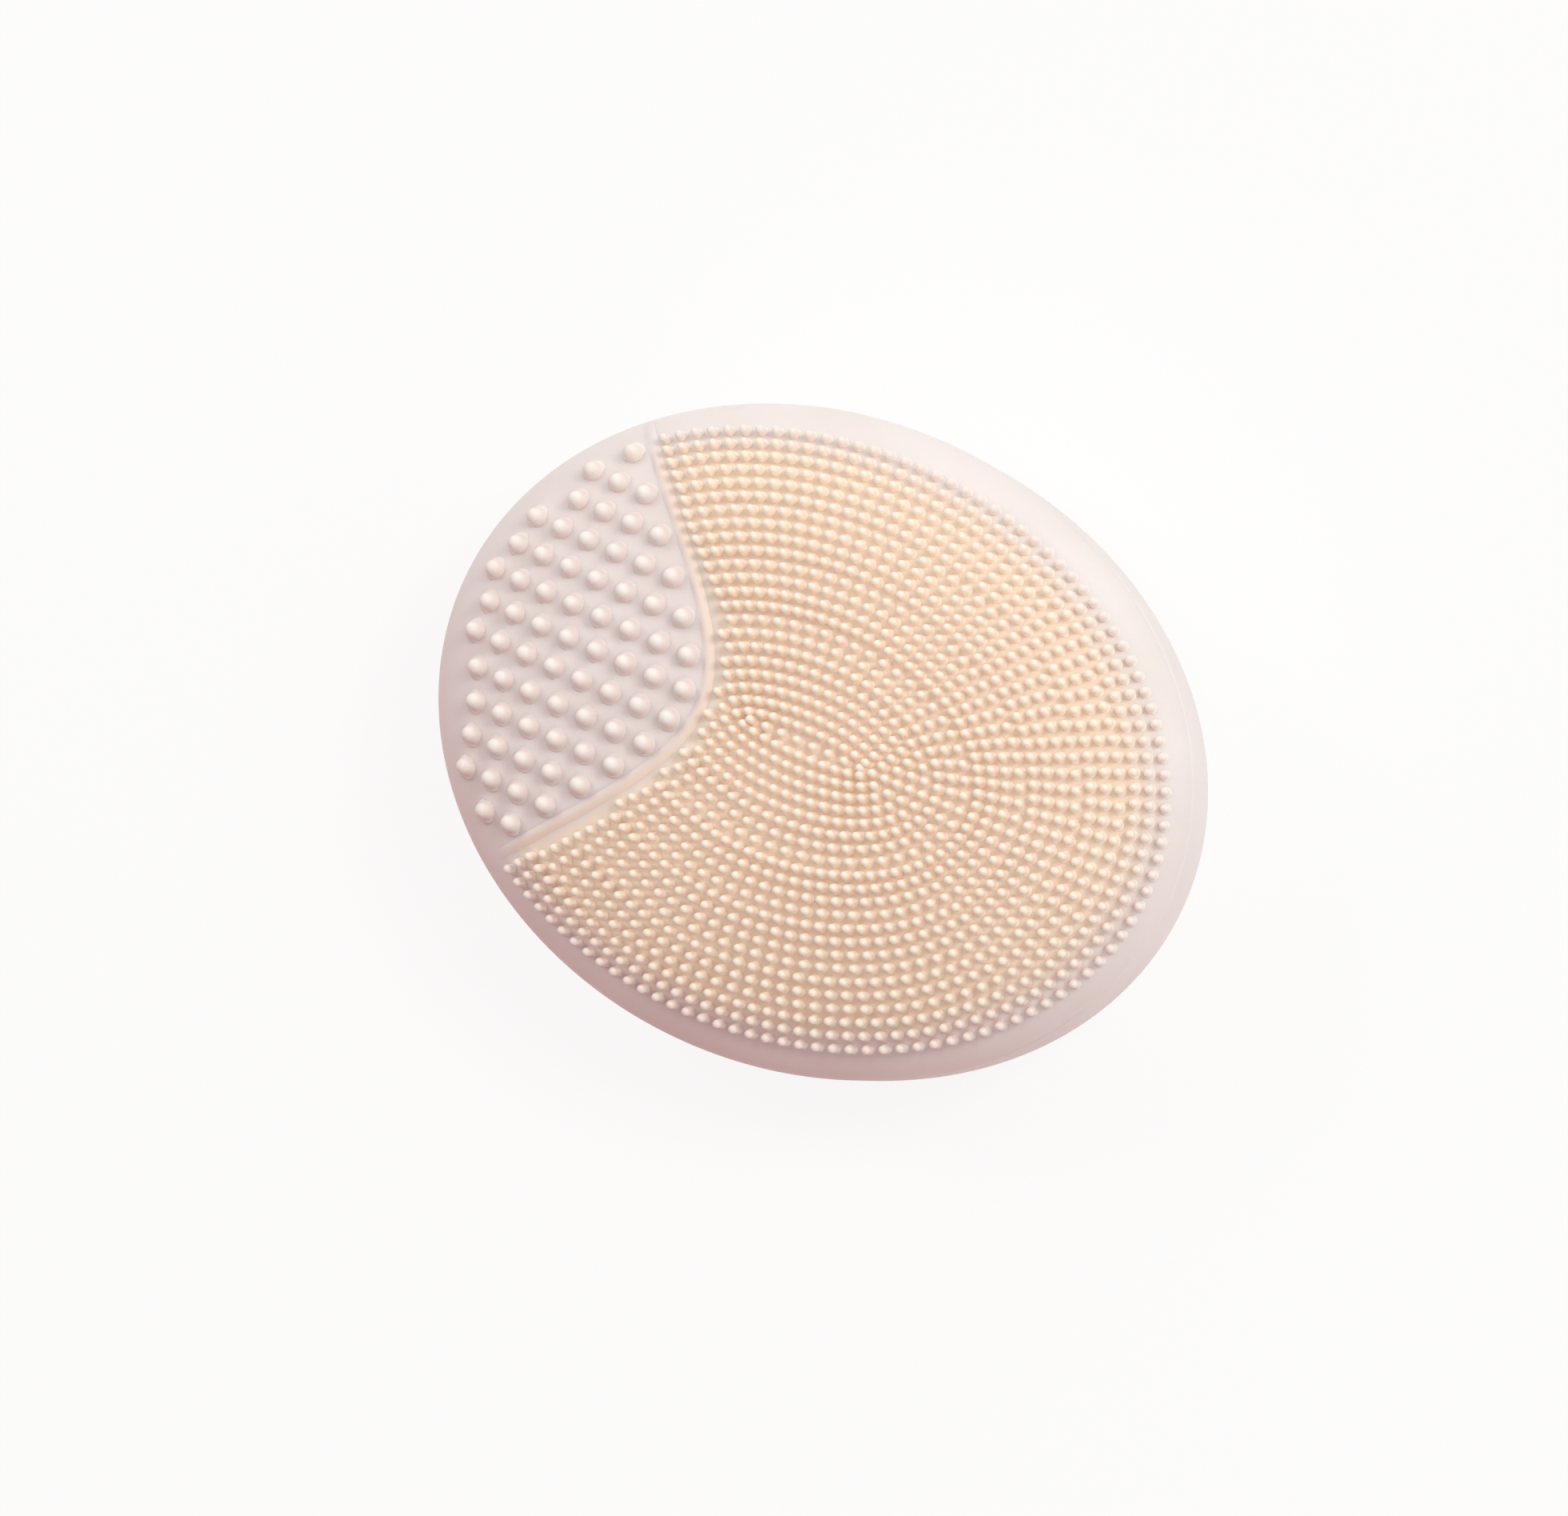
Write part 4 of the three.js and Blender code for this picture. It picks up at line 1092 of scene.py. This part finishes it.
def add_world(dusk_side):
    """Soft light from all round, dimmer and pinker from below and from the lower left of the picture.
    The world itself shows as plain white."""
    world = bpy.data.worlds.new("studio")
    bpy.context.scene.world = world
    world.use_nodes = True
    tree = world.node_tree
    tree.nodes.clear()
    light = tree.nodes.new("ShaderNodeBackground")
    place = tree.nodes.new("ShaderNodeTexCoord").outputs["Generated"]
    sky = fade_along(tree, place, dusk_side, DUSK_LIMITS, WORLD_COLOUR, DUSK_COLOUR)
    ground = fade_along(tree, place, dusk_side, GROUND_LIMITS, GROUND_PALE, GROUND_ROSE)
    colour = fade_along(tree, place, DOWN, HORIZON_LIMITS, sky, ground)
    tree.links.new(colour, light.inputs["Color"])
    light.inputs["Strength"].default_value = WORLD_STRENGTH
    white = tree.nodes.new("ShaderNodeBackground")
    white.inputs["Color"].default_value = (1, 1, 1, 1)
    mix = tree.nodes.new("ShaderNodeMixShader")
    out = tree.nodes.new("ShaderNodeOutputWorld")
    tree.links.new(seen_directly(tree), mix.inputs["Fac"])
    tree.links.new(light.outputs[0], mix.inputs[1])
    tree.links.new(white.outputs[0], mix.inputs[2])
    tree.links.new(mix.outputs[0], out.inputs["Surface"])


def floor_material():
    """A pale studio sheet that keeps shadows. It is clear from below, and to the world's soft light."""
    material = bpy.data.materials.new("studio_sheet")
    material.use_nodes = True
    tree = material.node_tree
    tree.nodes.clear()
    pale = tree.nodes.new("ShaderNodeBsdfDiffuse")
    pale.inputs["Color"].default_value = FLOOR_PALE
    white = tree.nodes.new("ShaderNodeEmission")
    shown = tree.nodes.new("ShaderNodeMixShader")
    shown.inputs["Fac"].default_value = FLOOR_GLOW
    lit = tree.nodes.new("ShaderNodeMixShader")
    side = tree.nodes.new("ShaderNodeNewGeometry")
    clear = tree.nodes.new("ShaderNodeBsdfTransparent")
    both = tree.nodes.new("ShaderNodeMixShader")
    out = tree.nodes.new("ShaderNodeOutputMaterial")
    links = tree.links
    links.new(pale.outputs[0], shown.inputs[1])
    links.new(white.outputs[0], shown.inputs[2])
    links.new(seen_directly(tree), lit.inputs["Fac"])
    links.new(clear.outputs[0], lit.inputs[1])
    links.new(shown.outputs[0], lit.inputs[2])
    links.new(side.outputs["Backfacing"], both.inputs["Fac"])
    links.new(lit.outputs[0], both.inputs[1])
    links.new(clear.outputs[0], both.inputs[2])
    links.new(both.outputs[0], out.inputs["Surface"])
    return material


def add_floor():
    half = FLOOR_SIZE / 2
    z = cad_low.z - FLOOR_GAP
    corners = [(-half, -half, z), (half, -half, z), (half, half, z), (-half, half, z)]
    floor = mesh_object("studio_floor", corners, [(0, 1, 2, 3)])
    dress(floor, floor_material())


right, up, back = view_axes()
add_camera(right, up, back)
add_lamp("key", KEY_POWER, back + right * KEY_SIDE + up * KEY_RISE)
add_lamp("fill", FILL_POWER, back - right * FILL_SIDE + up * FILL_RISE)
dusk = (-right * DUSK_TURN - up).normalized()
add_world(dusk)
add_floor()
bpy.context.scene.view_settings.view_transform = "Standard"
bpy.context.scene.cycles.max_bounces = LIGHT_BOUNCES
bpy.context.scene.cycles.diffuse_bounces = LIGHT_BOUNCES
